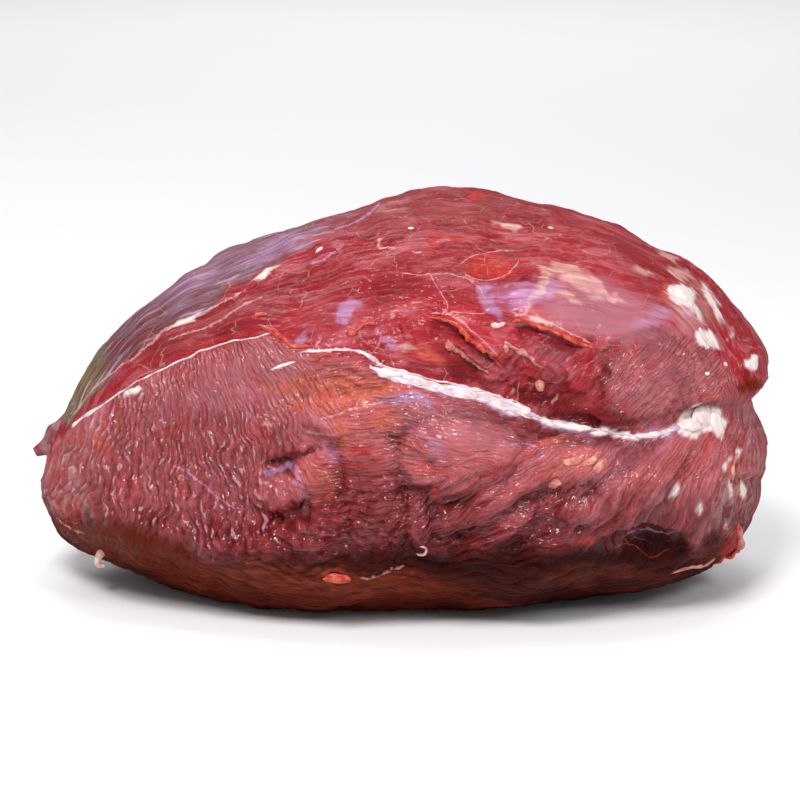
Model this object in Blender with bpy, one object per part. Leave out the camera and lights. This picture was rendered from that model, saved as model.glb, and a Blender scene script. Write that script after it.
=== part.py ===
"""A raw beef joint: one boneless piece of two muscles, with a seam of fat between them.

It lies on its underside. +X runs to the right along its length, -Y is the front, where the cut face
of the lower muscle shows, and +Z is up. The origin is under the middle, on the surface that the
joint lies on. Lengths whose names end in _MM are in millimetres, and everything else is in metres.
"""

import math

import bmesh
import bpy
import numpy as np
from mathutils import Vector, noise

MM = 0.001

# The plain body.
FRONT_DEPTH_MM = 80.0
BACK_DEPTH_MM = 90.0
MIDDLE_HEIGHT_MM = 68.0
FRONT_FULLNESS = 2.3
BACK_FULLNESS = 2.2
LEFT_EDGE_SHARPNESS = 0.6

# The outline from the front, clockwise from the left tip: across from the middle, and up.
OUTLINE_MM = (
    (-127, 50), (-121, 65), (-106, 86), (-77, 112), (-32, 131), (15, 141), (60, 135), (98, 119),
    (119, 98), (130, 82), (123, 73), (130, 53), (129, 34), (119, 15), (92, 3), (45, -5), (0, -6),
    (-52, -7), (-96, 3), (-121, 18), (-129, 32),
)
NOTCH_MM = (123, 73)
NOTCH_DEPTH_MM = 8.0
NOTCH_WIDTH_MM = 9.0

# Planes left by the knife, each a point on it, the way it faces, and the softness of its edge: the cut
# face on the lower left of the front, and the trimmed left and right of the back.
CUTS = (
    ((-76, -46, 92), (-0.38, -0.915, 0.13), 3.0),
    ((-72, 60, 62), (-0.5, 0.85, 0.12), 7.0),
    ((92, 56, 78), (0.72, 0.62, 0.28), 8.0),
)

# The softness of the edge round the flat of the underside.
RESTING_SOFTNESS_MM = 2.5

# The picture plane, in which the relief is placed: the front seen from 1 m off, a little from above.
SIGHT_DISTANCE_MM = 1000.0
SIGHT_ELEVATION_DEG = 13.0
SIGHT_MIDDLE_MM = 74.5

# How far the whole is moved, so that the origin is under its middle.
TO_MIDDLE_MM = (0.0, -3.2, 0.0)

# Edges of the starting box's grid along each axis, and how far the grid crowds to the front.
GRID = (42, 27, 23)
CROWDING = 0.2

# Creases and ridges of the front: the line, its height, and its reach above and below the line.
SEAM = ((-8, 87), (12, 81), (34, 76), (50, 69.5), (68, 66), (86, 62), (98, 65), (110, 70), (118, 74))
CUT_EDGE = ((-121, 62), (-100, 78), (-80, 88), (-60, 95), (-45, 97.5), (-34, 92), (-8, 90))
UNDERSIDE_EDGE = ((-126, 31), (-104, 27), (-70, 21), (-35, 16), (10, 12), (60, 13), (100, 14))
LONG_FLAP = ((42, 103), (50, 101.5), (58, 97.5), (69, 93))
SHORT_FLAP = ((11, 104), (20, 102), (28, 95.5), (36, 86))
TORN_STEP = ((70, 91), (80, 95), (92, 99), (104, 95))
FRONT_LINES = (
    (SEAM, -7.0, 11.0, 7.0),
    (CUT_EDGE, 2.4, 7.0, 11.0),
    (UNDERSIDE_EDGE, 1.6, 12.0, 6.0),
    (LONG_FLAP, -3.0, 4.0, 7.0),
    (SHORT_FLAP, -3.0, 4.0, 7.0),
    (TORN_STEP, -2.0, 4.0, 9.0),
    (((-51, 49), (-38, 54), (-25, 61)), -4.0, 5.5, 4.5),
    (((-58, 34), (-45, 33.5), (-33, 37)), -3.2, 5.0, 4.5),
    (((2, 56), (14, 53), (30, 56), (41, 66)), -2.2, 5.0, 4.5),
    (((4, 40), (18, 46), (34, 54), (48, 60)), 2.0, 5.0, 5.0),
    (((14, 37), (30, 43), (46, 50)), -1.8, 4.5, 4.5),
    (((24, 30), (40, 40), (52, 48)), 1.8, 5.0, 5.0),
    (((50, 26), (52, 38), (60, 52)), -2.2, 5.0, 5.0),
    (((-30, 60), (-31, 44), (-33, 28)), -1.6, 5.0, 5.0),
    (((3, 44), (0, 32), (-6, 20)), -1.8, 4.5, 4.5),
    (((73, 25), (83, 29.5), (97, 29), (105, 28)), 1.4, 4.5, 4.0),
)

# The same for the back, placed across from the middle and up, as seen from the front.
BACK_LINES = (
    (((128, 71), (98, 66), (56, 56), (6, 50), (-44, 54), (-88, 66)), -6.0, 10.0, 7.0),
    (((-96, 92), (-58, 102), (-14, 100), (34, 108)), -1.8, 8.0, 8.0),
)

# Mounds and hollows of the front: the middle, the reach along and across, the turn, and the height.
FRONT_MOUNDS = (
    ((72, 112), (42, 24), -20, 4.0),
    ((46, 82), (34, 16), -15, -6.0),
    ((20, 63), (32, 16), -8, 3.5),
    ((88, 78), (26, 16), 20, 2.5),
    ((90, 46), (36, 22), 20, 3.0),
    ((-15, 38), (18, 26), 10, -2.6),
    ((90, 21), (18, 9), 6, -4.5),
    ((-80, 52), (44, 34), 20, 1.5),
    ((54, 45), (7, 6), 0, 2.2),
    ((70, 51), (8, 5), -10, 2.4),
    ((125, 89), (8, 7), 0, 2.6),
    ((50, 80), (4, 4), 0, 2.2),
)

# Mounds of the back and the top, as middles in the round and a reach all ways.
BODY_MOUNDS = (
    ((-60, 60, 95), 55, 3.0),
    ((50, 70, 100), 60, 3.0),
    ((70, 84, 35), 48, 3.0),
    ((-30, 86, 30), 46, 2.5),
    ((20, 30, 140), 40, 1.5),
    ((-20, 66, 118), 42, -3.5),
    ((112, 10, 108), 30, 2.0),
    ((10, 88, 92), 34, 2.5),
)

# Unevenness all over: the size of the lumps and their height.
LUMPS = ((38.0, 3.0), (14.0, 1.3), (6.5, 0.5))

# Loose scraps at the edges: points in the round, the width at each, and the thickness.
LEFT_TIP = (((-114, 4, 58), (-123, 0, 53), (-131, -2, 49)), (16, 12, 3), 4.0)
RIGHT_SCRAP = (((106, -6, 30), (115, -5, 22), (119, -5, 15)), (16, 13, 4), 5.0)
HANGING_SCRAP = (((-101, -14, 24), (-106, -19, 18), (-107, -20, 12)), (7, 4, 2.5), 2.2)
SCRAPS = (LEFT_TIP, RIGHT_SCRAP, HANGING_SCRAP)
SCRAP_SIDES = 8
MEAT_COLOUR = (0.33, 0.055, 0.05, 1.0)


def smooth_path(points, closed=False, steps=12):
    """Points along a Catmull-Rom curve through the given ones."""
    points = np.array(points, float)
    if closed:
        ends = np.vstack([points[-1], points, points[:2]])
    else:
        ends = np.vstack([2 * points[0] - points[1], points, 2 * points[-1] - points[-2]])
    t = np.linspace(0, 1, steps, endpoint=False)[:, None]
    runs = []
    for a, b, c, d in zip(ends, ends[1:], ends[2:], ends[3:]):
        bend = (2 * a - 5 * b + 4 * c - d) * t**2 + (3 * b - 3 * c + d - a) * t**3
        runs.append(0.5 * (2 * b + (c - a) * t + bend))
    if not closed:
        runs.append(points[-1:])
    return np.vstack(runs)


def smoothstep(low, high, value):
    """0 below low, 1 above high, and a smooth rise between."""
    share = np.clip((value - low) / (high - low), 0, 1)
    return share * share * (3 - 2 * share)


def sphere_grid():
    """A box of quads pushed out to a unit sphere, with smaller ones towards the front."""
    grid = bmesh.new()
    bmesh.ops.create_cube(grid, size=2.0)
    for axis, pieces in enumerate(GRID):
        along = []
        for edge in grid.edges:
            way = (edge.verts[1].co - edge.verts[0].co).normalized()
            if abs(way[axis]) > 0.99:
                along.append(edge)
        bmesh.ops.subdivide_edges(grid, edges=along, cuts=pieces - 1, use_grid_fill=True)
    for vertex in grid.verts:
        vertex.co = [math.tan(c * math.pi / 4) for c in vertex.co]
        vertex.co.normalize()
        vertex.co.y -= CROWDING
        vertex.co.normalize()
    return grid


def outline_radius(angle):
    """How far the outline is from the middle, in each direction seen from the front."""
    outline = smooth_path(OUTLINE_MM, closed=True)
    across, up = outline[:, 0], outline[:, 1] - MIDDLE_HEIGHT_MM
    turn = np.arctan2(up, across)
    order = np.argsort(turn)
    return np.interp(angle, turn[order], np.hypot(across, up)[order], period=2 * math.pi)


def plain_body(direction):
    """The outline swollen to the front and the back, drawn to an edge at the left of the front."""
    x, y, z = direction.T
    angle = np.arctan2(z, x)
    front = y < 0
    leftness = smoothstep(0.2, 0.9, -np.cos(angle))
    fullness = np.where(front, FRONT_FULLNESS, BACK_FULLNESS)
    roundness = np.where(front, 2.0 - LEFT_EDGE_SHARPNESS * leftness, 2.0)
    depth = np.where(front, FRONT_DEPTH_MM, BACK_DEPTH_MM)
    notch_side = np.arctan2(NOTCH_MM[1] - MIDDLE_HEIGHT_MM, NOTCH_MM[0])
    from_notch = (angle - notch_side) * NOTCH_MM[0] / NOTCH_WIDTH_MM
    filling = NOTCH_DEPTH_MM * np.exp(-from_notch**2) * smoothstep(0.0, 0.7, np.abs(y))
    reach = (outline_radius(angle) + filling) * np.hypot(x, z) ** (2 / fullness)
    points = np.column_stack([
        reach * np.cos(angle),
        np.sign(y) * depth * np.abs(y) ** (2 / roundness),
        MIDDLE_HEIGHT_MM + reach * np.sin(angle),
    ])
    for cut in CUTS:
        points = cut_flat(points, *cut)
    return points


def cut_flat(points, on_plane, normal, softness):
    """Moves what stands out of a plane back onto it, with a soft edge."""
    normal = np.array(normal) / np.linalg.norm(normal)
    beyond = (points - np.array(on_plane)) @ normal
    near = np.clip(beyond + softness, 0, 2 * softness)
    excess = near**2 / (4 * softness) + np.maximum(beyond - softness, 0)
    return points - normal * excess[:, None]


def sight(points):
    """Where points appear from the front: across and up the picture plane, in millimetres."""
    tilt = math.radians(SIGHT_ELEVATION_DEG)
    across, back, up = points[:, 0], points[:, 1], points[:, 2] - MIDDLE_HEIGHT_MM
    distance = SIGHT_DISTANCE_MM + back * math.cos(tilt) - up * math.sin(tilt)
    scale = SIGHT_DISTANCE_MM / distance
    height = SIGHT_MIDDLE_MM + (back * math.sin(tilt) + up * math.cos(tilt)) * scale
    return np.column_stack([across * scale, height])


def line_relief(seen, line, height, above, below):
    """A ridge, or a crease where the height is negative, that runs out at the line's ends."""
    path = smooth_path(line)
    gap = seen[:, None, :] - path[None, :, :]
    nearest = np.argmin((gap**2).sum(axis=2), axis=1)
    way = np.gradient(path, axis=0)[nearest]
    gap = gap[np.arange(len(seen)), nearest]
    distance = np.hypot(gap[:, 0], gap[:, 1])
    is_above = way[:, 0] * gap[:, 1] - way[:, 1] * gap[:, 0] > 0
    share = nearest / (len(path) - 1)
    taper = smoothstep(0, 0.15, share) * smoothstep(0, 0.15, 1 - share)
    return height * taper * np.exp(-(distance / np.where(is_above, above, below)) ** 2)


def mound_relief(seen, middle, reach, turn, height):
    """An oval mound, or a hollow where the height is negative."""
    turn = math.radians(turn)
    across, up = (seen - np.array(middle)).T
    along = (across * math.cos(turn) + up * math.sin(turn)) / reach[0]
    over = (up * math.cos(turn) - across * math.sin(turn)) / reach[1]
    return height * np.clip(1 - along**2 - over**2, 0, 1) ** 2


def relief(points, normals):
    """How far each point of the plain body is pushed out, in millimetres."""
    tilt = math.radians(SIGHT_ELEVATION_DEG)
    facing = normals @ np.array([0, -math.cos(tilt), math.sin(tilt)])
    seen = sight(points)
    front = np.zeros(len(points))
    for line in FRONT_LINES:
        front += line_relief(seen, *line)
    for mound in FRONT_MOUNDS:
        front += mound_relief(seen, *mound)
    back = np.zeros(len(points))
    for line in BACK_LINES:
        back += line_relief(points[:, [0, 2]], *line)
    total = front * smoothstep(-0.4, 0.1, facing) + back * smoothstep(-0.2, 0.3, normals[:, 1])
    for middle, reach, height in BODY_MOUNDS:
        distance = np.linalg.norm(points - np.array(middle), axis=1)
        total += height * np.clip(1 - (distance / reach) ** 2, 0, 1) ** 2
    for size, height in LUMPS:
        total += height * np.array([noise.noise(Vector(p) / size) for p in points])
    return total


def object_from(grid, name):
    """A smooth-shaded object in the scene, from a bmesh."""
    bmesh.ops.recalc_face_normals(grid, faces=grid.faces)
    mesh = bpy.data.meshes.new(name)
    grid.to_mesh(mesh)
    grid.free()
    mesh.shade_smooth()
    return bpy.data.objects.new(name, mesh)


def body():
    """The two muscles with the seam, flaps and hollows, flat where the weight rests."""
    grid = sphere_grid()
    points = plain_body(np.array([v.co for v in grid.verts]))
    for vertex, point in zip(grid.verts, points):
        vertex.co = point
    grid.normal_update()
    normals = np.array([v.normal for v in grid.verts])
    points += normals * relief(points, normals)[:, None]
    points = cut_flat(points, (0, 0, 0), (0, 0, -1), RESTING_SOFTNESS_MM)
    points[:, 2] = np.maximum(points[:, 2].round(6), 0)
    for vertex, point in zip(grid.verts, points):
        vertex.co = (point + TO_MIDDLE_MM) * MM
    bmesh.ops.triangulate(grid, faces=grid.faces)
    joint = object_from(grid, "beef_joint")
    bpy.context.scene.collection.objects.link(joint)
    return joint


def scrap(points, widths, thickness, name):
    """A tapering tongue of meat along a bent line, rooted inside the body."""
    path = smooth_path(points, steps=4)
    width = np.interp(np.linspace(0, 1, len(path)), np.linspace(0, 1, len(widths)), widths)
    grid = bmesh.new()
    rings = []
    for place, way, size in zip(path, np.gradient(path, axis=0), width):
        way = Vector(way).normalized()
        side = way.cross(Vector((0, 1, 0))).normalized()
        over = way.cross(side)
        ring = []
        for step in range(SCRAP_SIDES):
            turn = 2 * math.pi * step / SCRAP_SIDES
            corner = Vector(place + TO_MIDDLE_MM) + side * (math.cos(turn) * size / 2)
            ring.append(grid.verts.new((corner + over * (math.sin(turn) * thickness / 2)) * MM))
        rings.append(ring)
    for ring, following in zip(rings, rings[1:]):
        for step in range(SCRAP_SIDES):
            after = (step + 1) % SCRAP_SIDES
            grid.faces.new((ring[step], ring[after], following[after], following[step]))
    grid.faces.new(rings[0])
    grid.faces.new(rings[-1])
    return object_from(grid, name)


def join(joint, scraps):
    """Fuses the scraps with the joint, so that it is one solid."""
    group = bpy.data.collections.new("scraps")
    bpy.context.scene.collection.children.link(group)
    for piece in scraps:
        group.objects.link(piece)
    union = joint.modifiers.new("join the scraps", "BOOLEAN")
    union.operation = "UNION"
    union.operand_type = "COLLECTION"
    union.collection = group
    union.solver = "EXACT"
    bpy.context.view_layer.update()
    whole = joint.evaluated_get(bpy.context.evaluated_depsgraph_get())
    joined = bpy.data.meshes.new_from_object(whole)
    joint.modifiers.clear()
    joint.data = joined
    for piece in scraps:
        bpy.data.objects.remove(piece)
    bpy.data.collections.remove(group)


def meat():
    """Raw beef: moist, dark red and not metallic."""
    material = bpy.data.materials.new("raw beef")
    material.use_nodes = True
    shader = material.node_tree.nodes["Principled BSDF"]
    shader.inputs["Base Color"].default_value = MEAT_COLOUR
    shader.inputs["Roughness"].default_value = 0.4
    shader.inputs["Metallic"].default_value = 0.0
    return material


def main():
    for obj in list(bpy.data.objects):
        bpy.data.objects.remove(obj)
    joint = body()
    scraps = []
    for number, measures in enumerate(SCRAPS):
        scraps.append(scrap(*measures, f"scrap_{number}"))
    join(joint, scraps)
    joint.data.name = "beef_joint"
    joint.data.materials.clear()
    joint.data.materials.append(meat())


if __name__ == "__main__":
    main()
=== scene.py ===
"""The looks of the raw beef joint: its grain, seam of fat, torn flaps, membranes and stage.

The file is laid out as an add-on and run as a script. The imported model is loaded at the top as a
fixed frame, each operator makes one piece or one group of like pieces, and main() calls them in
order. Lengths whose names end in _MM are in millimetres, and everything else is in metres.

Most places are given in the picture plane: across from the middle and up from the joint's foot, as
the joint appears from 1 m in front and 13 degrees above. Rays from that point carry them onto the
meat, so each one sits on the surface seen from any side.
"""

import math

import bmesh
import bpy
import numpy as np
from bpy.props import FloatProperty, FloatVectorProperty, IntProperty, PointerProperty
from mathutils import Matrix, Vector, noise
from mathutils.bvhtree import BVHTree


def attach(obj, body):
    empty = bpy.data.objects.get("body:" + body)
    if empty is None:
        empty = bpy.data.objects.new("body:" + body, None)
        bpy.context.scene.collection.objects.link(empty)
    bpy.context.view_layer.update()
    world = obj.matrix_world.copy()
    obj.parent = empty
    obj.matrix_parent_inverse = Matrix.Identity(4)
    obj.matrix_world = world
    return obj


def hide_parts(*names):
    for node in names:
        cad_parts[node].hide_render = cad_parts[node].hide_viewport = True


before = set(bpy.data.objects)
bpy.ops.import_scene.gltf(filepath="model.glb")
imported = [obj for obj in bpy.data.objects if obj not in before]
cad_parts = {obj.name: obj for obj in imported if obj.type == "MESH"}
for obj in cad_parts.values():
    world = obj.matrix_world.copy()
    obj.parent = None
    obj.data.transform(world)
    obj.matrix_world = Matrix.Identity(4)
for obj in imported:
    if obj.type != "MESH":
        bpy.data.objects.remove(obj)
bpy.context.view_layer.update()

bl_info = {
    "name": "Raw beef joint",
    "version": (1, 0, 0),
    "blender": (4, 5, 0),
    "location": "3D View > Sidebar > Beef",
    "description": "Makes a boneless raw beef joint of two muscles, with its fat, flaps and membranes",
    "category": "Object",
}

MM = 0.001
NODE = "beef_joint"
BODY_NAME = "muscle_body"

# The plain body, as in the part's source.
FRONT_DEPTH_MM = 80.0
BACK_DEPTH_MM = 90.0
MIDDLE_HEIGHT_MM = 68.0
FRONT_FULLNESS = 2.3
BACK_FULLNESS = 2.2
LEFT_EDGE_SHARPNESS = 0.6
OUTLINE_MM = (
    (-127, 50), (-121, 65), (-106, 86), (-77, 112), (-32, 131), (15, 141), (60, 135), (98, 119),
    (119, 98), (130, 82), (123, 73), (130, 53), (129, 34), (119, 15), (92, 3), (45, -5), (0, -6),
    (-52, -7), (-96, 3), (-121, 18), (-129, 32),
)
NOTCH_MM = (123, 73)
NOTCH_DEPTH_MM = 8.0
NOTCH_WIDTH_MM = 9.0
CUTS = (
    ((-76, -46, 92), (-0.38, -0.915, 0.13), 3.0),
    ((-72, 60, 62), (-0.5, 0.85, 0.12), 7.0),
    ((92, 56, 78), (0.72, 0.62, 0.28), 8.0),
)
RESTING_SOFTNESS_MM = 2.5
TO_MIDDLE_MM = (0.0, -3.2, 0.0)

# The picture plane: how far off and how steep the sight is, the height in its middle, and its width.
SIGHT_DISTANCE_MM = 1000.0
SIGHT_ELEVATION_DEG = 13.0
SIGHT_MIDDLE_MM = 74.5
SIGHT_WIDTH_MM = 286.4
CAMERA_SENSOR_MM = 36.0

# How many quads the body's mesh has along, to the back and up, as shares of those along it.
MESH_SHARES = (1.0, 0.652, 0.55)

# Soft square lights: the name, place, target, side, power and colour.
JOINT_MIDDLE = (0, 0, 0.06)
LIGHTS = (
    ("key", (-0.22, -0.8, 0.95), JOINT_MIDDLE, 0.36, 13.5, (1.0, 0.985, 0.98)),
    ("fill", (0.55, -0.8, 0.75), JOINT_MIDDLE, 0.3, 4.0, (0.96, 0.95, 1.0)),
    ("top", (0.1, -0.05, 1.2), JOINT_MIDDLE, 0.4, 2.5, (1.0, 1.0, 1.0)),
    ("rim", (-0.5, 0.9, 0.9), JOINT_MIDDLE, 0.5, 2.2, (0.9, 0.9, 1.0)),
    ("backdrop", (0, 2.1, 1.7), (0, 2.1, 0), 1.6, 24.0, (1.0, 1.0, 1.0)),
)
SKY_STRENGTH = 0.36

# Creases and ridges: the line, its height, and its reach above and below the line.
SEAM = ((-8, 87), (12, 81), (34, 76), (50, 69.5), (68, 66), (86, 62), (98, 65), (110, 70), (118, 74))
CUT_EDGE = ((-121, 62), (-100, 78), (-80, 88), (-60, 95), (-45, 97.5), (-34, 92), (-8, 90))
UNDERSIDE_EDGE = ((-126, 31), (-104, 27), (-70, 21), (-35, 16), (10, 12), (60, 13), (100, 14))
BROAD_LINES = (
    (SEAM, -7.0, 11.0, 7.0),
    (CUT_EDGE, 2.4, 7.0, 11.0),
    (UNDERSIDE_EDGE, 1.6, 12.0, 6.0),
    (((-51, 49), (-38, 54), (-25, 61)), -4.0, 5.5, 4.5),
    (((-58, 34), (-45, 33.5), (-33, 37)), -3.2, 5.0, 4.5),
    (((2, 56), (14, 53), (30, 56), (41, 66)), -2.2, 5.0, 4.5),
    (((4, 40), (18, 46), (34, 54), (48, 60)), 2.0, 5.0, 5.0),
    (((14, 37), (30, 43), (46, 50)), -1.8, 4.5, 4.5),
    (((24, 30), (40, 40), (52, 48)), 1.8, 5.0, 5.0),
    (((50, 26), (52, 38), (60, 52)), -2.2, 5.0, 5.0),
    (((-30, 60), (-31, 44), (-33, 28)), -1.6, 5.0, 5.0),
    (((3, 44), (0, 32), (-6, 20)), -1.8, 4.5, 4.5),
)
BACK_SEAM = ((128, 71), (98, 66), (56, 56), (6, 50), (-44, 54), (-88, 66))
BACK_LINES = (
    (BACK_SEAM, -6.0, 10.0, 7.0),
    (((-96, 92), (-58, 102), (-14, 100), (34, 108)), -1.8, 8.0, 8.0),
)
FRONT_MOUNDS = (
    ((72, 112), (42, 24), -20, 4.0),
    ((46, 82), (34, 16), -15, -6.0),
    ((20, 63), (32, 16), -8, 3.5),
    ((88, 78), (26, 16), 20, 2.5),
    ((90, 46), (36, 22), 20, 3.0),
    ((-15, 38), (18, 26), 10, -2.6),
    ((90, 21), (18, 9), 6, -4.5),
    ((-80, 52), (44, 34), 20, 1.5),
    ((125, 89), (8, 7), 0, 2.6),
)
BODY_MOUNDS = (
    ((-60, 60, 95), 55, 3.0),
    ((50, 70, 100), 60, 3.0),
    ((70, 84, 35), 48, 3.0),
    ((-30, 86, 30), 46, 2.5),
    ((20, 30, 140), 40, 1.5),
    ((-20, 66, 118), 42, -3.5),
    ((112, 10, 108), 30, 2.0),
    ((10, 88, 92), 34, 2.5),
)
LUMPS = ((38.0, 3.0), (14.0, 1.3), (6.5, 0.5))

# How strongly the folds, lobes and ledges below stand out, how deep the lobes are bedded, how much of
# the relief smooth tissues hide, and how far white fat stands above the meat.
FOLD_SHARE = 1.2
LOBE_SHARE = 1.3
LOBE_BED_MM = 1.4
LEDGE_SHARE = 1.3
CALM_SHARE = 0.7
WHITE_RISE_MM = 0.5

# Sharp folds, from the lip of a flap: the line, how far the lip stands out and over what reach, and
# how deep the cut under it is and over what reach.
LONG_FLAP = ((40, 102.5), (44, 103), (50, 101), (57, 98.5), (63, 95.5), (69, 93))
SHORT_FLAP = ((10, 104.3), (15, 103.6), (21, 101.2), (25, 97.1), (30, 92.9), (33.5, 90), (36.5, 86))
SMALL_FLAP = ((16, 95), (21, 92.3), (24.5, 89.5), (28, 86.8), (32, 84))
TORN_STEP = ((68, 93), (72, 92.5), (77, 95), (84, 99), (92, 100), (100, 98), (107, 94))
GRAIN_EDGE = ((70, 91), (72, 84), (76, 76), (82, 70), (88, 64))
WINDOW_EDGE = ((64, 21), (73, 25), (82, 27.6), (88, 29.6), (94, 28.2), (101, 28.3), (103, 22), (105, 15))
FOLDS = (
    (LONG_FLAP, 1.1, 9.0, 2.6, 6.0),
    (SHORT_FLAP, 1.1, 7.0, 2.2, 4.5),
    (SMALL_FLAP, 0.8, 4.0, 1.4, 4.0),
    (TORN_STEP, 0.9, 8.0, 1.2, 7.0),
    (WINDOW_EDGE, 0.7, 6.0, 2.2, 8.0),
    (((49, 71.5), (56, 69.5), (66, 69.2), (74, 66), (82, 65)), 0.8, 6.0, 2.0, 3.0),
    (((-49, 52), (-40, 54.5), (-29, 59.5)), 0.8, 5.0, 1.8, 3.0),
    (((-53, 33), (-45, 33.8), (-38, 35.5), (-33, 41)), 0.6, 5.0, 1.6, 3.0),
    (((-19, 54.6), (-13, 55.6), (-8, 55.4)), 0.3, 3.0, 1.0, 2.5),
    (((2, 57.5), (10, 54.3), (16, 52), (24, 52.5)), 0.7, 5.0, 1.0, 3.0),
    (((1, 46), (6, 44), (17, 46.5), (31, 51), (46, 54)), 0.8, 5.0, 1.0, 3.5),
    (((10, 36), (18, 37.5), (28, 41), (38, 45), (50, 51)), 0.8, 4.0, 1.2, 3.5),
    (((24, 28), (32, 31), (40, 36), (51, 45)), 0.8, 4.0, 1.2, 4.0),
    (((38, 24), (46, 32), (52, 42)), 0.5, 4.0, 1.0, 4.0),
    (((1, 45), (3, 40), (1, 33), (-2, 26), (-1, 20)), 0.3, 2.5, 1.2, 2.5),
    (((36, 96), (42.5, 92.2), (49, 87.3), (53, 85.5)), 0.7, 3.0, 0.5, 3.0),
    (((118.5, 45), (119, 50), (121, 56)), 0.7, 2.5, 0.9, 2.5),
    (((119, 47.5), (124, 47.3), (131, 47.6)), 0.6, 4.0, 1.3, 3.0),
    (((-20, 98.5), (-17, 99.5), (-14, 101.6), (-8, 101.3)), 0.6, 4.0, 0.8, 4.0),
    (((2, 88.5), (8, 87.2), (14, 85.6)), 0.5, 3.0, 0.9, 3.0),
)

# Lobes of the lower muscle, full and rounded, with sharp creases between them: middle, reach, turn
# and height.
LOBES = (
    ((23, 54), (25, 15), -6, 3.4),
    ((-12, 44), (12, 24), 4, 2.6),
    ((-3, 28), (15, 5.5), 70, 2.8),
    ((6.5, 29), (12, 4.5), 100, 2.8),
    ((31, 38), (25, 6), 31, 3.0),
    ((38, 29), (22, 5.5), 29, 2.6),
    ((49, 51), (15, 8), 42, 2.6),
    ((67, 34), (11, 5.5), 12, 2.4),
    ((66, 52), (15, 7), 16, 2.4),
    ((80, 41), (21, 6), 42, 2.2),
    ((92, 47), (24, 7), 54, 2.2),
    ((107, 42), (24, 9), 70, 2.0),
    ((-29, 50), (9, 12), 24, 2.6),
    ((-26, 33), (8, 9), -20, 2.4),
    ((-43, 41), (11, 6), 10, 2.0),
    ((-20, 69), (22, 8), -8, 2.0),
    ((56, 22), (16, 6), 8, 1.8),
    ((20, 20), (16, 5), -8, 1.8),
)

# Where the fibres run: the region's middle, reach and turn; the point that its fibres fan out from,
# or the slope of straight ones in degrees; and the bundles' length, width and height.
GRAIN_REGIONS = (
    ((-76, 56), (64, 44), 20, (-85, 150), 7.0, 2.1, 0.75),
    ((-15, 42), (22, 24), 0, 4, 11.0, 3.4, 1.1),
    ((-2, 28), (7, 14), -10, 12, 5.0, 2.0, 1.1),
    ((20, 60), (30, 17), -8, -7, 12.0, 2.8, 0.8),
    ((32, 40), (32, 18), 30, (-28, 6), 16.0, 3.4, 1.2),
    ((92, 44), (44, 28), 20, (136, 112), 20.0, 2.4, 1.1),
    ((94, 80), (26, 17), 20, 47, 18.0, 2.2, 1.1),
    ((54, 82), (26, 18), -10, 38, 12.0, 3.0, 0.9),
)
# Regions whose middle is above this height lie on the upper muscle, and the others on the lower one.
UPPER_REGIONS_MM = 76
# How far places around the joint and around a fan are apart, for each radian.
ROUND_MM = 62.0
FAN_MM = 75.0
# The length, width and height of the bundles outside these regions.
UPPER_GRAIN_MM = (22.0, 3.0, 0.45)
LOWER_GRAIN_MM = (12.0, 3.6, 1.0)
END_GRAIN_MM = (16.0, 3.2, 0.8)
END_SLOPE_DEG = 64.0

# Torn ledges, where sheets of muscle were pulled apart: middle, reach and turn, and height.
LEDGES = (
    ((30, 45), (40, 26), 24, 0.5),
    ((-20, 48), (26, 26), 0, 0.5),
    ((52, 80), (34, 14), -14, 1.1),
    ((74, 40), (28, 22), 20, 0.5),
    ((-5, 98), (30, 8), -8, 0.6),
    ((112, 86), (16, 16), 0, 0.7),
    ((60, 108), (40, 20), -16, 0.25),
)

# The face of the upper muscle that was cut across, which looks like the lower muscle.
UPPER_CUT = (
    (70, 92), (82, 98), (94, 99.5), (106, 96), (116, 88), (122, 78), (118, 74), (104, 68), (90, 63),
    (80, 66), (74, 74),
)

# The shader's noises along the fibres, with each one's length, width and detail. The water film, wet,
# follows the bundles but not the finest strands, so it shows short bright dashes.
# Patches of the wet noise also pick where the painted glints go.
FIBRE_NOISES = {
    "bundles": (9.0, 2.4, 3.0),
    "strands": (3.6, 0.8, 3.0),
    "streaks": (16.0, 1.6, 3.0),
    "silver_streaks": (20.0, 4.4, 8.0),
    "sheets": (22.0, 8.0, 7.0),
    "wet": (3.2, 1.5, 0.5),
}
# Its noises without a direction, with each one's size and detail.
SOLID_NOISES = {"mottle": (11.0, 5.0), "fray": (1.6, 3.0), "film": (0.8, 2.0)}
WEB_MM = 15.0
WEB_BEND_MM = 7.0
SWIRL_MM = 9.0
LINE_SPACING_MM = 1.25
BUMP_HEIGHT_MM = 1.8
FILM_HEIGHT_MM = 2.6
TISSUE_FILM_MM = 0.7
MEAT_IOR = 1.4
WET_FILM_IOR = 1.42

# What the mesh stores for the shader, up to three numbers to a layer.
LAYERS = {
    "lean": ("lower", "deep", "height"),
    "tint": ("red", "salmon", "lilac"),
    "skin": ("silver", "membrane", "brown"),
    "fat": ("cream", "white", "olive"),
    "thread": ("gap", "half_width", "kind"),
    "calm": ("pink", "calm", "ridged"),
    "ridge": ("count", "wetness"),
}

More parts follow.
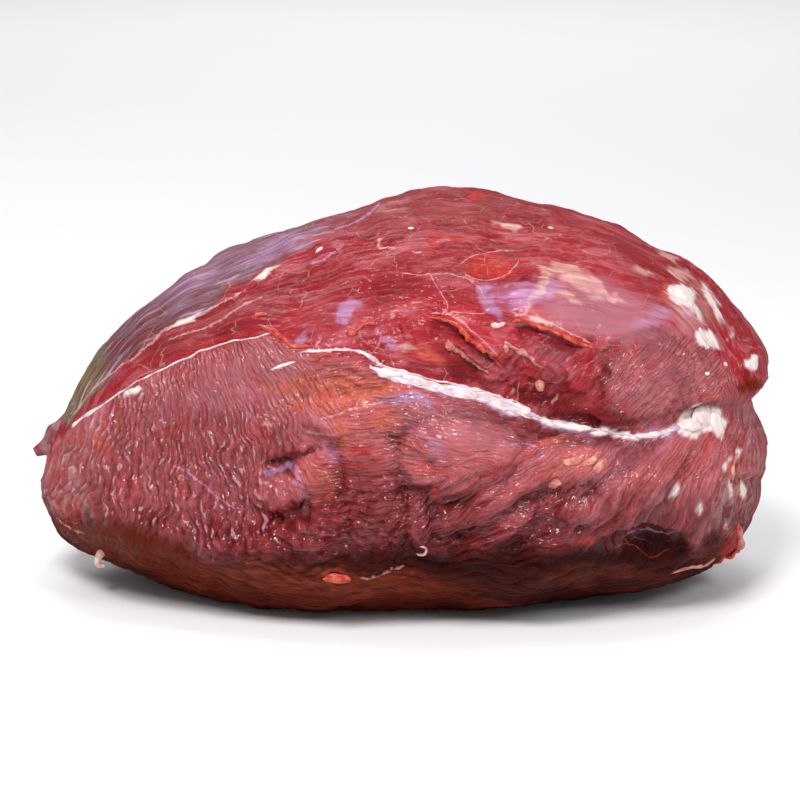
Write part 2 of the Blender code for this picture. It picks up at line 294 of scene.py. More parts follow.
# Streaks in the colour: the tissue, its mask, the noise, where on it the tissue starts and is full,
# and how much of it shows at most.
MEAT_STREAKS = (
    ("deep", None, "mottle", 0.48, 0.68, 0.4),
    # Pale cream flecks along the strands: partly fat marbling, partly painted glints.
    ("cream", None, "pale", 0.26, 0.42, 0.16),
    ("red", "lower", "silver_streaks", 0.5, 0.62, 0.5),
    ("veil", "lower", "silver_streaks", 0.47, 0.37, 0.34),
    ("salmon", "lower", "sheets", 0.44, 0.34, 0.3),
    ("veil", "thin", "sheets", 0.5, 0.6, 0.4),
    ("deep", None, "sheets", 0.45, 0.36, 0.4),
)
SILVER_STREAKS = (
    # Lilac streaks on the silverskin: partly thin skin, partly painted sheen.
    ("lilac", "silver", "silver_streaks", 0.54, 0.64, 0.6),
    ("deep", "silver", "silver_streaks", 0.5, 0.4, 0.6),
    ("cream", "silver", "silver_streaks", 0.6, 0.68, 0.6),
)
SURFACE_STREAKS = (
    ("cream", "hairy", "web", 0.018, 0.0, 0.34),
    # Painted highlights: pale glint dashes on the crests, in patches of the wet noise.
    ("glint", "painted_glint_spots", "raised", 0.86, 0.99, 0.4),
)
# Stored stains in the colour: the tissue, how strongly it counts, the noise that frays its edge, how
# sharp the edge is, and how much of it shows at most.
# Deep holds painted shade as well as dark red meat, and pink holds painted light on lobe tops as well as
# membrane.
LOW_STAINS = (
    ("deep", 1.0, "bundles", 1.3, 1.0),
    ("pink", 1.0, "streaks", 1.1, 1.0),
    ("silver", 0.66, "silver_streaks", 2.4, 1.0),
    ("olive", 1.0, "streaks", 1.5, 1.0),
)
# Lilac is partly painted sheen, brown partly painted shade, and membrane partly a painted warm reflection.
HIGH_STAINS = (
    ("lilac", 1.0, "streaks", 1.2, 0.72),
    ("brown", 1.3, "fray", 1.2, 1.0),
    ("membrane", 1.0, "streaks", 1.3, 1.0),
    ("salmon", 1.0, "bundles", 1.2, 0.75),
    ("red", 1.0, "bundles", 1.4, 1.0),
    ("cream", 1.0, "streaks", 1.1, 0.8),
)
FAT_STAINS = (("white", 1.0, "bundles", 1.7, 0.94),)
# How much each pattern lightens the colour, and how much each one raises the relief.
# The raised crests and the relief's height paint light on tops and shade in hollows into the colour.
TONES = (("bundles", 0.6), ("raised", 0.34), ("height", 0.42), ("lines", 0.14))
RELIEF = (("bundles", 1.2), ("lines", 0.25), ("film", 0.35), ("raised", 0.5))

# Settings that many shader nodes share.
TIMES = {"operation": "MULTIPLY"}
TIMES_PLUS = {"operation": "MULTIPLY_ADD"}
SMOOTH = {"interpolation_type": "SMOOTHSTEP"}
RGBA = {"data_type": "RGBA"}

# Stains of the tissues on the front: the tissue, its middle, reach and turn, and its strength.
STAINS = (
    # Deep stains: some are darker crimson meat, most are painted shade: towards the top and the upper left,
    # on the lower left face and the lower middle, in slits and creases, under the flaps and in the dark
    # recess at the lower right.
    ("deep", (-8, 118), (52, 14), 8, 0.35),
    ("deep", (0, 142), (110, 14), 2, 0.42),
    ("deep", (-60, 104), (46, 10), 26, 0.4),
    ("deep", (90, 122), (30, 12), -36, 0.35),
    ("deep", (-80, 48), (54, 38), 20, 0.48),
    ("deep", (-12, 34), (30, 24), 0, 0.7),
    ("deep", (58, 76), (30, 10), -14, 0.6),
    ("deep", (66, 70), (22, 5), -10, 0.8),
    ("deep", (20, 112), (18, 8), -10, 0.3),
    ("deep", (24, 84), (16, 4.5), -28, 0.6),
    ("deep", (92, 21), (14, 8), 4, 1.0),
    ("deep", (10, 41), (4, 6), -45, 0.8),
    ("deep", (-40, 55), (12, 3), 26, 0.6),
    ("deep", (-45, 33), (10, 3), 6, 0.8),
    ("deep", (55, 92), (12, 5), -25, 0.5),
    ("deep", (102, 88), (12, 4), 30, 0.4),
    ("red", (31, 122.6), (9.5, 4.6), 8, 1.0),
    ("red", (16, 131.5), (8.5, 1.9), 6, 0.9),
    ("red", (28, 147), (5, 1.6), -8, 0.9),
    ("red", (17, 141.5), (4, 1.2), 0, 0.6),
    ("red", (-70, 94), (22, 2.6), 22, 0.45),
    ("red", (-88, 86), (14, 2.2), 33, 0.45),
    ("red", (12, 42), (2.2, 4), -40, 0.8),
    ("red", (16.5, 35.2), (3.5, 1.6), -20, 0.8),
    ("red", (-14, 55), (7, 1.6), 4, 0.8),
    ("red", (-44, 35), (8, 1.6), 10, 0.6),
    # Painted shadow under the upper muscle's overhang, above the seam fat.
    ("deep", (60, 72), (28, 4.2), -16, 1.0),
    ("deep", (73, 80), (3, 12), -12, 0.8),
    ("red", (68, 76), (4, 8), -30, 0.35),
    ("red", (80, 92.5), (10, 1.6), 30, 0.6),
    ("red", (70, 25), (9, 1.6), 22, 0.7),
    ("red", (103, 22), (1.5, 6), 10, 0.6),
    ("red", (97, 66), (7, 1.6), 35, 0.6),
    ("salmon", (-22, 79), (32, 5.5), -3, 0.75),
    ("salmon", (-4, 68), (9, 6), -10, 0.6),
    ("salmon", (-20, 63), (3, 11), 8, 0.7),
    ("salmon", (-30, 73), (16, 4), 14, 0.5),
    ("salmon", (-30, 10), (60, 7), -4, 0.35),
    ("salmon", (70, 12), (30, 4), 6, 0.3),
    ("salmon", (11, 90.5), (7, 3.6), -20, 0.7),
    ("salmon", (22, 141), (20, 3), -12, 0.3),
    ("salmon", (-108, 60), (4, 2.5), -10, 0.8),
    ("salmon", (60, 51), (14, 7), 10, 0.55),
    ("salmon", (30, 57), (14, 4), 0, 0.35),
    ("salmon", (-30, 44), (8, 10), 60, 0.4),
    ("salmon", (110, 60), (10, 6), 20, 0.3),
    ("salmon", (56, 60), (14, 3), 0, 0.5),
    ("salmon", (122, 44), (5, 14), 0, 0.4),
    ("salmon", (94, 113), (4, 3), 60, 0.8),
    # Pink: the smooth membrane of the dome, and painted light on the lit tops of lobes and of the lower
    # muscle's upper side.
    ("pink", (72, 106), (30, 14), -14, 0.85),
    ("pink", (20, 65), (30, 11), -8, 0.45),
    ("pink", (72, 54), (40, 11), 8, 0.4),
    ("pink", (-58, 80), (34, 12), 22, 0.4),
    ("pink", (92, 82), (24, 12), 20, 0.35),
    ("pink", (100, 104), (16, 8), -40, 0.5),
    ("pink", (50, 92), (14, 7), -20, 0.35),
    ("pink", (-18, 104), (24, 6), 6, 0.35),
    ("pink", (-30, 96), (14, 4), 0, 0.3),
    # Lilac along the upper left edge is partly thin silverskin and partly painted sheen.
    ("lilac", (-72, 118), (34, 8), 28, 0.4),
    ("lilac", (-44, 129), (24, 4.5), 24, 0.6),
    ("lilac", (-19, 107), (6.5, 3.4), 32, 0.75),
    ("lilac", (-36, 95.5), (5, 2.5), 30, 0.6),
    ("lilac", (-4, 97), (7, 2.4), -25, 0.6),
    ("lilac", (2, 74.5), (13, 3.2), -10, 0.85),
    ("lilac", (47, 113), (15, 6), 10, 0.75),
    ("lilac", (33, 109), (3.6, 8), 24, 0.7),
    ("lilac", (90, 103), (8, 4), 30, 0.5),
    ("lilac", (-43, 49.8), (8, 1.3), 2, 0.85),
    ("lilac", (-35, 46), (4.6, 1.8), -68, 0.6),
    ("lilac", (-25, 55), (3, 8), 20, 0.4),
    ("lilac", (62, 66), (16, 2.2), -12, 0.8),
    ("lilac", (90, 62), (12, 2.4), 14, 0.7),
    ("lilac", (12, 60), (6, 2), -30, 0.4),
    ("cream", (58, 121), (12, 3.2), -16, 0.7),
    ("cream", (66, 116.5), (10, 2.6), -34, 0.62),
    ("cream", (51, 116), (8, 2.4), 48, 0.7),
    ("cream", (74, 113), (9, 1.8), -28, 0.6),
    ("cream", (60, 111), (7, 1.4), -12, 0.5),
    ("cream", (46, 109), (5, 1.2), 60, 0.5),
    ("cream", (86, 121), (5, 1.6), -18, 0.7),
    ("cream", (96, 126), (5, 1.4), -22, 0.7),
    ("cream", (102, 119), (7, 1.4), -40, 0.7),
    ("cream", (40, 137), (6.5, 1.5), -4, 0.8),
    ("cream", (-2, 143), (9, 1.6), 8, 0.35),
    ("cream", (4, 93), (6, 1.6), -20, 0.55),
    ("cream", (49, 102.5), (10, 1.2), -4, 0.8),
    ("cream", (5.3, 128.8), (2.4, 0.8), 0, 0.9),
    ("cream", (-4.5, 131), (4.2, 0.8), -10, 0.9),
    ("white", (-49, 119.4), (5.0, 0.8), 32, 0.9),
    ("white", (-77, 103), (6.0, 0.8), 26, 0.9),
    ("white", (-95.6, 77.6), (2.8, 1.1), 25, 1.0),
    ("white", (107, 67), (9.5, 5.2), 22, 0.9),
    ("white", (113, 66), (3.4, 6), 20, 0.85),
    ("white", (100.5, 112), (5.5, 3.4), -20, 0.85),
    ("white", (104.5, 107.5), (6.5, 1.3), -48, 0.75),
    ("white", (110, 112), (1.3, 5), 28, 0.75),
    ("white", (113.5, 106), (1.3, 5.5), 16, 0.75),
    ("white", (109.5, 96.5), (4.8, 3.0), -30, 0.85),
    ("white", (113, 93.5), (3.4, 1.0), -30, 0.75),
    ("cream", (104, 108), (13, 10), -40, 0.4),
    ("lilac", (103, 106), (5, 2.4), -40, 0.6),
    ("lilac", (32, 73.5), (14, 1.8), -16, 0.8),
    ("lilac", (12, 78), (12, 1.6), -14, 0.7),
    ("white", (118, 98), (0.9, 3), -15, 0.8),
    ("white", (126, 88), (2.8, 2.2), 40, 1.0),
    ("white", (106, 79.8), (2.6, 0.8), 12, 0.9),
    ("white", (98.6, 42), (0.8, 2.8), -22, 1.0),
    ("white", (116, 51.6), (0.8, 3.0), -32, 1.0),
    ("white", (121, 55.8), (1.0, 1.6), 0, 1.0),
    ("white", (122.8, 42), (1.0, 2.6), 0, 0.9),
    ("white", (118.2, 42.8), (0.7, 3.0), 0, 0.9),
    ("white", (106.5, 37.3), (0.7, 2.2), 0, 0.9),
    ("white", (117.3, 29.7), (0.8, 2.0), -5, 0.8),
    # Brown foot and its membrane: the underside's meat darkened as painted shade, with the orange-brown
    # partly a painted warm reflection from below.
    ("brown", (20, 6), (136, 18), 1, 1.0),
    ("brown", (-92, 16), (44, 12), -20, 1.0),
    ("brown", (-114, 24), (20, 6), -26, 1.0),
    ("membrane", (-113, 25), (20, 5.4), -26, 1.0),
    ("red", (-119, 36), (7, 12), 14, 0.5),
    # Painted shade: the lower middle and the lower left darken towards the foot.
    ("deep", (-24, 30), (60, 12), 4, 0.45),
    ("deep", (-84, 34), (44, 12), -10, 0.35),
    ("brown", (60, 12), (50, 9), 4, 1.0),
    ("brown", (92, 20), (15, 8), 4, 0.8),
    ("membrane", (124, 79), (5, 3.5), 10, 0.9),
    ("red", (119, 21), (4, 9), -6, 0.8),
    ("brown", (114, 20), (8, 8), 30, 0.6),
    ("membrane", (-84, 17), (44, 8), -22, 1.0),
    ("membrane", (-16, 6), (56, 9), 0, 0.8),
    ("membrane", (112, 19), (9, 6), 40, 0.5),
)

# Threads that lie in the surface: the tissue, half its width, and the line.
THREADS = (
    ("white", 0.55, ((-36, 91.3), (-31, 92), (-20, 92.6), (-13, 91.2), (-8, 88.2), (-3, 85))),
    ("white", 0.5, ((-46, 85.3), (-42, 87), (-37.5, 88.3))),
    ("cream", 0.35, ((40, 104.4), (44, 104.9), (50, 102.9), (57, 100.3), (63, 97.2), (69, 94.6))),
    ("cream", 0.35, ((10, 105.6), (15, 105.2), (21, 103), (25.6, 99), (31, 94.6), (35, 91))),
    ("cream", 0.15, ((-2, 119.7), (10, 119.6), (21, 119), (28, 115), (31, 109))),
    ("cream", 0.13, ((10, 120), (12.5, 116.5), (15, 112), (17, 108.5), (16.5, 105.5))),
    ("cream", 0.13, ((17, 106), (23, 105.3), (29.5, 105.4), (33, 108))),
    ("cream", 0.14, ((22, 120), (28, 117.5), (36, 118.2), (40, 121), (43, 125))),
    ("cream", 0.13, ((20, 122.5), (26, 126), (34, 127.5), (42, 128))),
    ("lilac", 0.5, ((-33, 122.8), (-26, 126), (-19.4, 130.6))),
    ("lilac", 0.45, ((-24, 135), (-13, 140), (-7, 145.5))),
    ("cream", 0.4, ((-94, 91.3), (-88, 96), (-83, 100.5), (-73.5, 104.6), (-64, 109), (-54, 115))),
    ("cream", 0.4, ((-118, 68), (-110, 78), (-100, 86.5), (-92, 92))),
    ("cream", 0.3, ((-84, 95), (-76, 98.5), (-66, 102), (-57, 108), (-48, 112))),
    ("cream", 0.35, ((-123, 32.5), (-119, 29), (-113, 26.5))),
    ("lilac", 0.4, ((-81.5, 51.7), (-73.7, 47.1), (-65.9, 40.1), (-58.1, 35.1))),
    ("lilac", 0.3, ((-102, 72.6), (-104, 66), (-104.5, 60))),
    ("lilac", 0.3, ((-85.7, 72), (-85.5, 69), (-85, 65))),
    ("lilac", 0.3, ((-54.2, 76.2), (-53.6, 72), (-54, 68))),
    ("cream", 0.5, ((-34, 63.2), (-28, 62.6), (-22, 62))),
    ("cream", 0.5, ((-28, 67.5), (-23, 69.5), (-17, 71.6), (-10, 73), (-4, 73.8))),
    ("lilac", 0.4, ((38, 58), (44, 58.8), (49, 57.5), (52, 54))),
    ("lilac", 0.1, ((82, 23.5), (88, 25.5), (95, 24.8), (101, 27))),
    ("salmon", 0.1, ((76, 18), (84, 22), (90, 18), (98, 21))),
    ("cream", 0.35, ((-15, 10.5), (-9, 11.2), (-3, 13.5), (2, 14.5))),
    ("cream", 0.35, ((94, 113), (99, 110), (104, 105), (110, 101))),
    ("red", 0.4, GRAIN_EDGE),
    ("red", 0.5, ((-120, 32), (-115, 37), (-111, 41))),
    ("salmon", 0.6, ((-3, 57.5), (2.9, 56.8), (10, 54.3), (16, 52.6), (22.7, 51.8))),
    ("salmon", 0.5, ((-25, 77.5), (-16, 78.4), (-8, 77.2), (-3, 76.6))),
)
# The lower edge of the silverskin on the front: across, and up at each of those places.
SILVER_EDGE_MM = ((-125, -94, -60, -30, 5), (60, 92, 113, 130, 150))
TISSUES = ("deep", "brown", "red", "salmon", "pink", "lilac", "cream", "white", "membrane", "silver")
THREAD_KINDS = ("white", "cream", "lilac", "salmon", "red")

# Raised ribbons: the line, the widths and heights along it, and how far a ribbon wanders.
SEAM_BAND = (
    (-11, 86), (-3, 84), (5, 81.7), (13.5, 79), (22.5, 77.2), (29.5, 75.6), (36, 73.6), (43, 70.8),
    (49, 68.4),
)
SEAM_TAIL = (
    (46, 69.6), (52, 67.8), (60, 66.2), (70, 64.2), (78, 62.6), (84, 61.6), (91, 61.6), (96, 63.6),
    (101, 65.5),
)
WHITE_BANDS = ((SEAM_BAND, 1.9), (SEAM_TAIL, 0.9))
FAT_RIBBONS = (
    (
        SEAM_BAND, (0.8, 1.8, 2.2, 2.0, 2.6, 2.4, 2.8, 2.2, 1.0),
        (0.3, 0.4, 0.5, 0.5, 0.6, 0.5, 0.5, 0.4, 0.2), 0.9,
    ),
    (
        ((-9, 86.9), (2, 84.4), (12, 81.6), (24, 79), (34, 76.2), (44, 72.2)),
        (0.5, 0.8, 0.6, 0.9, 0.7, 0.4), (0.3, 0.5, 0.5, 0.6, 0.5, 0.3), 0.9,
    ),
    (
        ((-4, 82.4), (8, 78.8), (18, 76.2), (28, 74), (38, 70.8), (48, 67.6)),
        (0.5, 0.8, 0.9, 0.6, 0.8, 0.4), (0.3, 0.5, 0.5, 0.5, 0.5, 0.3), 0.9,
    ),
    (
        SEAM_TAIL, (0.9, 1.2, 0.8, 1.1, 0.9, 0.8, 0.8, 1.6, 2.2),
        (0.3, 0.4, 0.3, 0.4, 0.3, 0.3, 0.3, 0.5, 0.5), 0.8,
    ),
)
CUT_LINE = (
    (-117.5, 64.5), (-112, 69.3), (-103, 75.1), (-98.2, 78.6), (-88.6, 83.7), (-79, 88.2), (-70.8, 92.3),
    (-64, 94.7), (-55.8, 96.3), (-49.3, 97.6), (-46, 98.6),
)
EDGE_RIBBONS = (
    (
        CUT_LINE, (1.5, 1.4, 0.9, 0.6, 0.7, 0.8, 0.6, 0.9, 0.6, 0.6, 0.4),
        (0.4, 0.4, 0.25, 0.2, 0.2, 0.25, 0.2, 0.25, 0.2, 0.2, 0.1), 0.6,
    ),
    (
        ((-36, 91.4), (-31, 92.1), (-20, 92.7), (-13, 91.3), (-8.4, 88.4)), (0.6, 0.9, 0.7, 1.0, 1.4),
        (0.2, 0.3, 0.25, 0.35, 0.4), 0.5,
    ),
    (((-46.5, 85.2), (-42, 86.8), (-37.3, 88.4)), (0.5, 1.0, 0.6), (0.2, 0.3, 0.2), 0.3),
)
FLAP_RIBBONS = (
    (LONG_FLAP, (1.0, 1.5, 1.7, 1.8, 2.0, 1.4), (0.5, 0.9, 1.0, 1.1, 1.2, 0.6), 0.25),
    (SHORT_FLAP, (0.9, 1.3, 1.6, 2.0, 1.9, 1.5, 0.8), (0.5, 0.8, 1.1, 1.4, 1.3, 1.0, 0.4), 0.25),
    (
        ((121, 30), (121.3, 25), (120, 20), (117, 15), (114.5, 12.5)), (1.4, 3.2, 4.2, 3.4, 1.2),
        (0.8, 1.6, 2.2, 1.6, 0.6), 0.3,
    ),
    (((-52.5, 104.2), (-49.5, 105.2), (-47.3, 105)), (1.2, 2.2, 1.0), (0.5, 1.0, 0.5), 0.3),
    (
        ((-51, 101.6), (-48.4, 100.4), (-45.6, 99), (-42.4, 96.8), (-40, 95)), (1.2, 2.0, 2.2, 1.4, 1.2),
        (0.6, 1.1, 1.2, 0.9, 0.6), 0.3,
    ),
    (
        ((-40.4, 94.6), (-38, 93.6), (-35, 93.9), (-31.6, 93.6)), (1.2, 1.6, 1.1, 0.9),
        (0.6, 0.9, 0.6, 0.4), 0.3,
    ),
    (
        ((-19.4, 98.8), (-17, 98.2), (-15.2, 99.6), (-13, 101.7), (-10.5, 102.1), (-8.2, 101.2)),
        (1.4, 1.9, 1.3, 1.1, 1.2, 0.7), (0.7, 1.0, 0.8, 0.7, 0.7, 0.4), 0.2,
    ),
)
SALMON_RIBBONS = (
    (SMALL_FLAP, (1.4, 2.0, 1.6, 1.5, 0.9), (0.9, 1.2, 1.0, 0.9, 0.5), 0.25),
    (((118.8, 45), (118.9, 49), (119.8, 53), (121, 56)), (0.9, 1.5, 1.4, 0.9), (0.5, 0.9, 0.8, 0.5), 0.2),
    (((97, 12.5), (103, 14.5), (109, 15.5), (113, 18)), (0.8, 1.6, 1.8, 0.9), (0.3, 0.7, 0.8, 0.4), 0.4),
    (
        ((37.6, 95.6), (40, 93.6), (42.6, 92.2), (46, 89.8), (49, 87.4), (52.4, 86)),
        (1.4, 1.9, 2.8, 1.2, 1.6, 0.7), (0.3, 0.4, 0.5, 0.3, 0.4, 0.2), 0.8,
    ),
)
SINEWS = (
    (
        ((5.6, 19.6), (8, 19.2), (9.6, 20.6), (8.6, 22.2), (7, 22)), (0.6, 0.9, 1.0, 0.8, 0.5),
        (0.4, 0.7, 0.7, 0.6, 0.4), 0.1,
    ),
    (((32.5, 101.6), (35, 101), (37.8, 102.2)), (1.4, 2.6, 1.6), (0.5, 0.8, 0.5), 0.1),
)

# Small lumps: the middle, the reach across, up and out, and the turn.
SALMON_LUMPS = (
    ((55.5, 44.8), (2.6, 1.8, 0.9), 20),
    ((71.8, 50.8), (3.2, 2.2, 1.1), 30),
    ((67.8, 52.6), (2.6, 1.3, 0.8), 20),
    ((61.5, 52.4), (3.4, 1.4, 0.8), 14),
    ((50, 79.8), (1.7, 2.2, 1.5), 10),
    ((17.8, 93.8), (1.8, 1.6, 1.4), 0),
    ((38, 93.2), (1.1, 1.8, 1.0), 10),
)
FAT_LUMPS = (
    ((103.4, 65.8), (5.6, 3.0, 1.4), 24),
    ((108.4, 68.2), (5.6, 4.2, 1.7), 30),
    ((113.4, 66.2), (3.0, 4.6, 1.3), 14),
    ((99.4, 112.2), (4.0, 2.6, 0.3), -18),
    ((109, 97.2), (3.6, 2.0, 0.28), -30),
    ((3.9, 135.9), (1.1, 0.7, 0.5), 5),
    ((-28.9, 128.2), (1.5, 0.9, 0.5), 35),
    ((53.9, 136.1), (1.1, 0.6, 0.4), -5),
    ((-95.6, 77.6), (1.9, 1.0, 0.6), 25),
    ((116.6, 87.3), (0.9, 0.8, 0.4), 0),
    ((110, 84), (0.9, 0.7, 0.4), 0),
)
RED_LUMPS = (((-22.5, 10.6), (4.6, 2.0, 1.2), -4),)

# Loose scraps at the edges, where the part's source has them: points, the width at each, and the
# thickness. The third ends in a hook.
SCRAP_SIDES = 24
SCRAPS = (
    (((-114, 4, 58), (-123, 0, 53), (-131, -2, 49)), (16, 12, 3), 4.0),
    (((106, -6, 30), (115, -5, 22), (119, -5, 15)), (16, 13, 4), 5.0),
    (
        ((-101, -14, 24), (-104.5, -19, 19), (-107.5, -20, 14.5), (-107, -20, 12.5), (-105, -20, 12.4)),
        (7, 4.4, 2.6, 2.2, 1.2), 2.2,
    ),
)


def linear(hex_colour):
    """An sRGB hex colour as linear red, green and blue."""
    values = []
    for start in (1, 3, 5):
        value = int(hex_colour[start:start + 2], 16) / 255
        values.append(value / 12.92 if value <= 0.04045 else ((value + 0.055) / 1.055) ** 2.4)
    return tuple(values)


class BeefSizes(bpy.types.PropertyGroup):
    """Sizes of the joint's surface detail and of its stage."""

    mesh_pieces: IntProperty(
        name="Mesh pieces", description="Quads along the joint's length", default=178, min=40, max=178)
    crowding: FloatProperty(
        name="Crowding", description="How far the mesh is drawn to the front", default=0.46, min=0, max=0.6)
    grain_height: FloatProperty(
        name="Grain height", description="Share of the fibre bundles' relief", default=1.0, min=0, max=3)
    warp: FloatProperty(
        name="Waviness", description="How far fibres and stains wander", default=0.0016,
        unit="LENGTH", subtype="DISTANCE")
    ribbon_step: FloatProperty(
        name="Ribbon step", description="Distance between a ribbon's rings", default=0.0005,
        unit="LENGTH", subtype="DISTANCE")
    floor_size: FloatProperty(
        name="Floor size", description="Side of the pale floor", default=9.0, unit="LENGTH")


class BeefColours(bpy.types.PropertyGroup):
    """Colours of the joint's tissues."""

    upper: FloatVectorProperty(
        name="Upper muscle", description="Crimson outer muscle", subtype="COLOR", default=linear("#96202a"))
    lower: FloatVectorProperty(
        name="Lower muscle", description="Browner cut muscle", subtype="COLOR", default=linear("#a04a4e"))
    deep: FloatVectorProperty(
        name="Deep", description="Hollows and shaded meat", subtype="COLOR", default=linear("#640c12"))
    red: FloatVectorProperty(
        name="Blood red", description="Freshly torn meat", subtype="COLOR", default=linear("#a62824"))
    salmon: FloatVectorProperty(
        name="Salmon", description="Tissue between the muscles", subtype="COLOR", default=linear("#b8563e"))
    # Pink is the smooth membrane's colour and is also painted light on the tops of lobes.
    pink: FloatVectorProperty(
        name="Pink", description="Smooth membrane over muscle", subtype="COLOR", default=linear("#9c5d68"))
    # Lilac is thin silverskin's colour and is also painted sheen along the upper left edge.
    lilac: FloatVectorProperty(
        name="Lilac", description="Thin silverskin over red meat", subtype="COLOR", default=linear("#ac86ae"))
    silver: FloatVectorProperty(
        name="Silverskin", description="Thick, dried silverskin", subtype="COLOR", default=linear("#6f4c50"))
    # Painted highlights: the pale colour of the glint dashes on the wet crests.
    glint: FloatVectorProperty(
        name="Crests", description="Wet tops of the bundles", subtype="COLOR", default=linear("#d8b4bc"))
    veil: FloatVectorProperty(
        name="Veil", description="Thin pale film over red meat", subtype="COLOR", default=linear("#bd6a74"))
    olive: FloatVectorProperty(
        name="Olive", description="Silverskin over dried fat", subtype="COLOR", default=linear("#75664a"))
    # The membrane's orange-brown at the foot is partly a painted warm reflection from below.
    membrane: FloatVectorProperty(
        name="Membrane", description="Orange-brown skin below", subtype="COLOR", default=linear("#641c08"))
    # The underside's colour is dark partly as painted shade under the joint.
    brown: FloatVectorProperty(
        name="Underside", description="Meat of the underside", subtype="COLOR", default=linear("#3c0803"))
    cream: FloatVectorProperty(
        name="Cream fat", description="Thin fat over meat", subtype="COLOR", default=linear("#d2a49c"))
    white: FloatVectorProperty(
        name="White fat", description="Seam fat", subtype="COLOR", default=linear("#ded2cd"))


def sizes():
    return bpy.context.scene.beef_sizes


def colours():
    return bpy.context.scene.beef_colours


# Curves and steps

def smooth_path(points, closed=False, steps=24):
    """Points along a Catmull-Rom curve through the given ones."""
    points = np.array(points, float)
    if closed:
        ends = np.vstack([points[-1], points, points[:2]])
    else:
        ends = np.vstack([2 * points[0] - points[1], points, 2 * points[-1] - points[-2]])
    t = np.linspace(0, 1, steps, endpoint=False)[:, None]
    runs = []
    for a, b, c, d in zip(ends, ends[1:], ends[2:], ends[3:]):
        bend = (2 * a - 5 * b + 4 * c - d) * t**2 + (3 * b - 3 * c + d - a) * t**3
        runs.append(0.5 * (2 * b + (c - a) * t + bend))
    if not closed:
        runs.append(points[-1:])
    return np.vstack(runs)


def smoothstep(low, high, value):
    """0 below low, 1 above high, and a smooth rise between."""
    share = np.clip((value - low) / (high - low), 0, 1)
    return share * share * (3 - 2 * share)


def clouds(places, size, seed=0.0):
    """Smooth noise from about -1 to 1 at each place, with lumps of the given size along each axis."""
    moved = places / np.array(size, float) + seed * np.array((7.31, 3.17, 5.73))
    return np.array([noise.noise(place) for place in moved.tolist()])


def pillows(places, size, seed=0.0):
    """Rounded lumps with sharp valleys between them, from about -0.5 to 1."""
    return 2.6 * np.abs(clouds(places, size, seed)) - 0.5


def ridge_count(places, length, width, seed=0.0):
    """How many wavy ridges lie between the start and each place, whole numbers being the valleys."""
    drift = clouds(places, (length, width * 3, 3.0), seed) * 1.3
    drift += clouds(places, (length * 0.4, width * 1.6, 3.0), seed + 5) * 0.3
    return places[:, 1] / width + drift


def strands(places, count, length, width, seed=0.0):
    """Wavy parallel ridges, rounded above with sharp valleys between them, from about -0.6 to 0.6."""
    crest = np.abs(np.sin(math.pi * count))
    uneven = 0.75 + 0.9 * clouds(places, (length * 0.6, width, 3.0), seed + 9)
    return (crest - 0.64) * uneven * 1.6


# The body's form, as in the part's source

def box_grid(pieces):
    """The corners and quads of a box's surface, from -1 to 1, cut into pieces along each axis."""
    rings = []
    for axis in range(3):
        a, b = [other for other in range(3) if other != axis]
        first, second = np.meshgrid(np.arange(pieces[a]), np.arange(pieces[b]), indexing="ij")
        for side in (0, pieces[axis]):
            corner = np.zeros((first.size, 3), int)
            corner[:, axis] = side
            corner[:, a] = first.ravel()
            corner[:, b] = second.ravel()
            ring = []
            for step_a, step_b in ((0, 0), (1, 0), (1, 1), (0, 1)):
                step = np.zeros(3, int)
                step[a] = step_a
                step[b] = step_b
                ring.append(corner + step)
            if (side > 0) != (axis != 1):
                ring.reverse()
            rings.append(np.stack(ring, axis=1))
    corners = np.concatenate(rings)
    places, index = np.unique(corners.reshape(-1, 3), axis=0, return_inverse=True)
    return places / np.array(pieces) * 2 - 1, index.reshape(-1, 4)


def outline_radius(angle):
    """How far the outline is from the middle, in each direction seen from the front."""
    outline = smooth_path(OUTLINE_MM, closed=True, steps=12)
    across, up = outline[:, 0], outline[:, 1] - MIDDLE_HEIGHT_MM
    turn = np.arctan2(up, across)
    order = np.argsort(turn)
    return np.interp(angle, turn[order], np.hypot(across, up)[order], period=2 * math.pi)


def cut_flat(points, on_plane, normal, softness):
    """Moves what stands out of a plane back onto it, with a soft edge."""
    normal = np.array(normal) / np.linalg.norm(normal)
    beyond = (points - np.array(on_plane)) @ normal
    near = np.clip(beyond + softness, 0, 2 * softness)
    excess = near**2 / (4 * softness) + np.maximum(beyond - softness, 0)
    return points - normal * excess[:, None]


def plain_body(direction):
    """The outline swollen to the front and the back, drawn to an edge at the left of the front."""
    x, y, z = direction.T
    angle = np.arctan2(z, x)
    front = y < 0
    leftness = smoothstep(0.2, 0.9, -np.cos(angle))
    fullness = np.where(front, FRONT_FULLNESS, BACK_FULLNESS)
    roundness = np.where(front, 2.0 - LEFT_EDGE_SHARPNESS * leftness, 2.0)
    depth = np.where(front, FRONT_DEPTH_MM, BACK_DEPTH_MM)
    notch_side = np.arctan2(NOTCH_MM[1] - MIDDLE_HEIGHT_MM, NOTCH_MM[0])
    from_notch = (angle - notch_side) * NOTCH_MM[0] / NOTCH_WIDTH_MM
    filling = NOTCH_DEPTH_MM * np.exp(-from_notch**2) * smoothstep(0.0, 0.7, np.abs(y))
    reach = (outline_radius(angle) + filling) * np.hypot(x, z) ** (2 / fullness)
    points = np.column_stack([
        reach * np.cos(angle),
        np.sign(y) * depth * np.abs(y) ** (2 / roundness),
        MIDDLE_HEIGHT_MM + reach * np.sin(angle),
    ])
    for cut in CUTS:
        points = cut_flat(points, *cut)
    return points


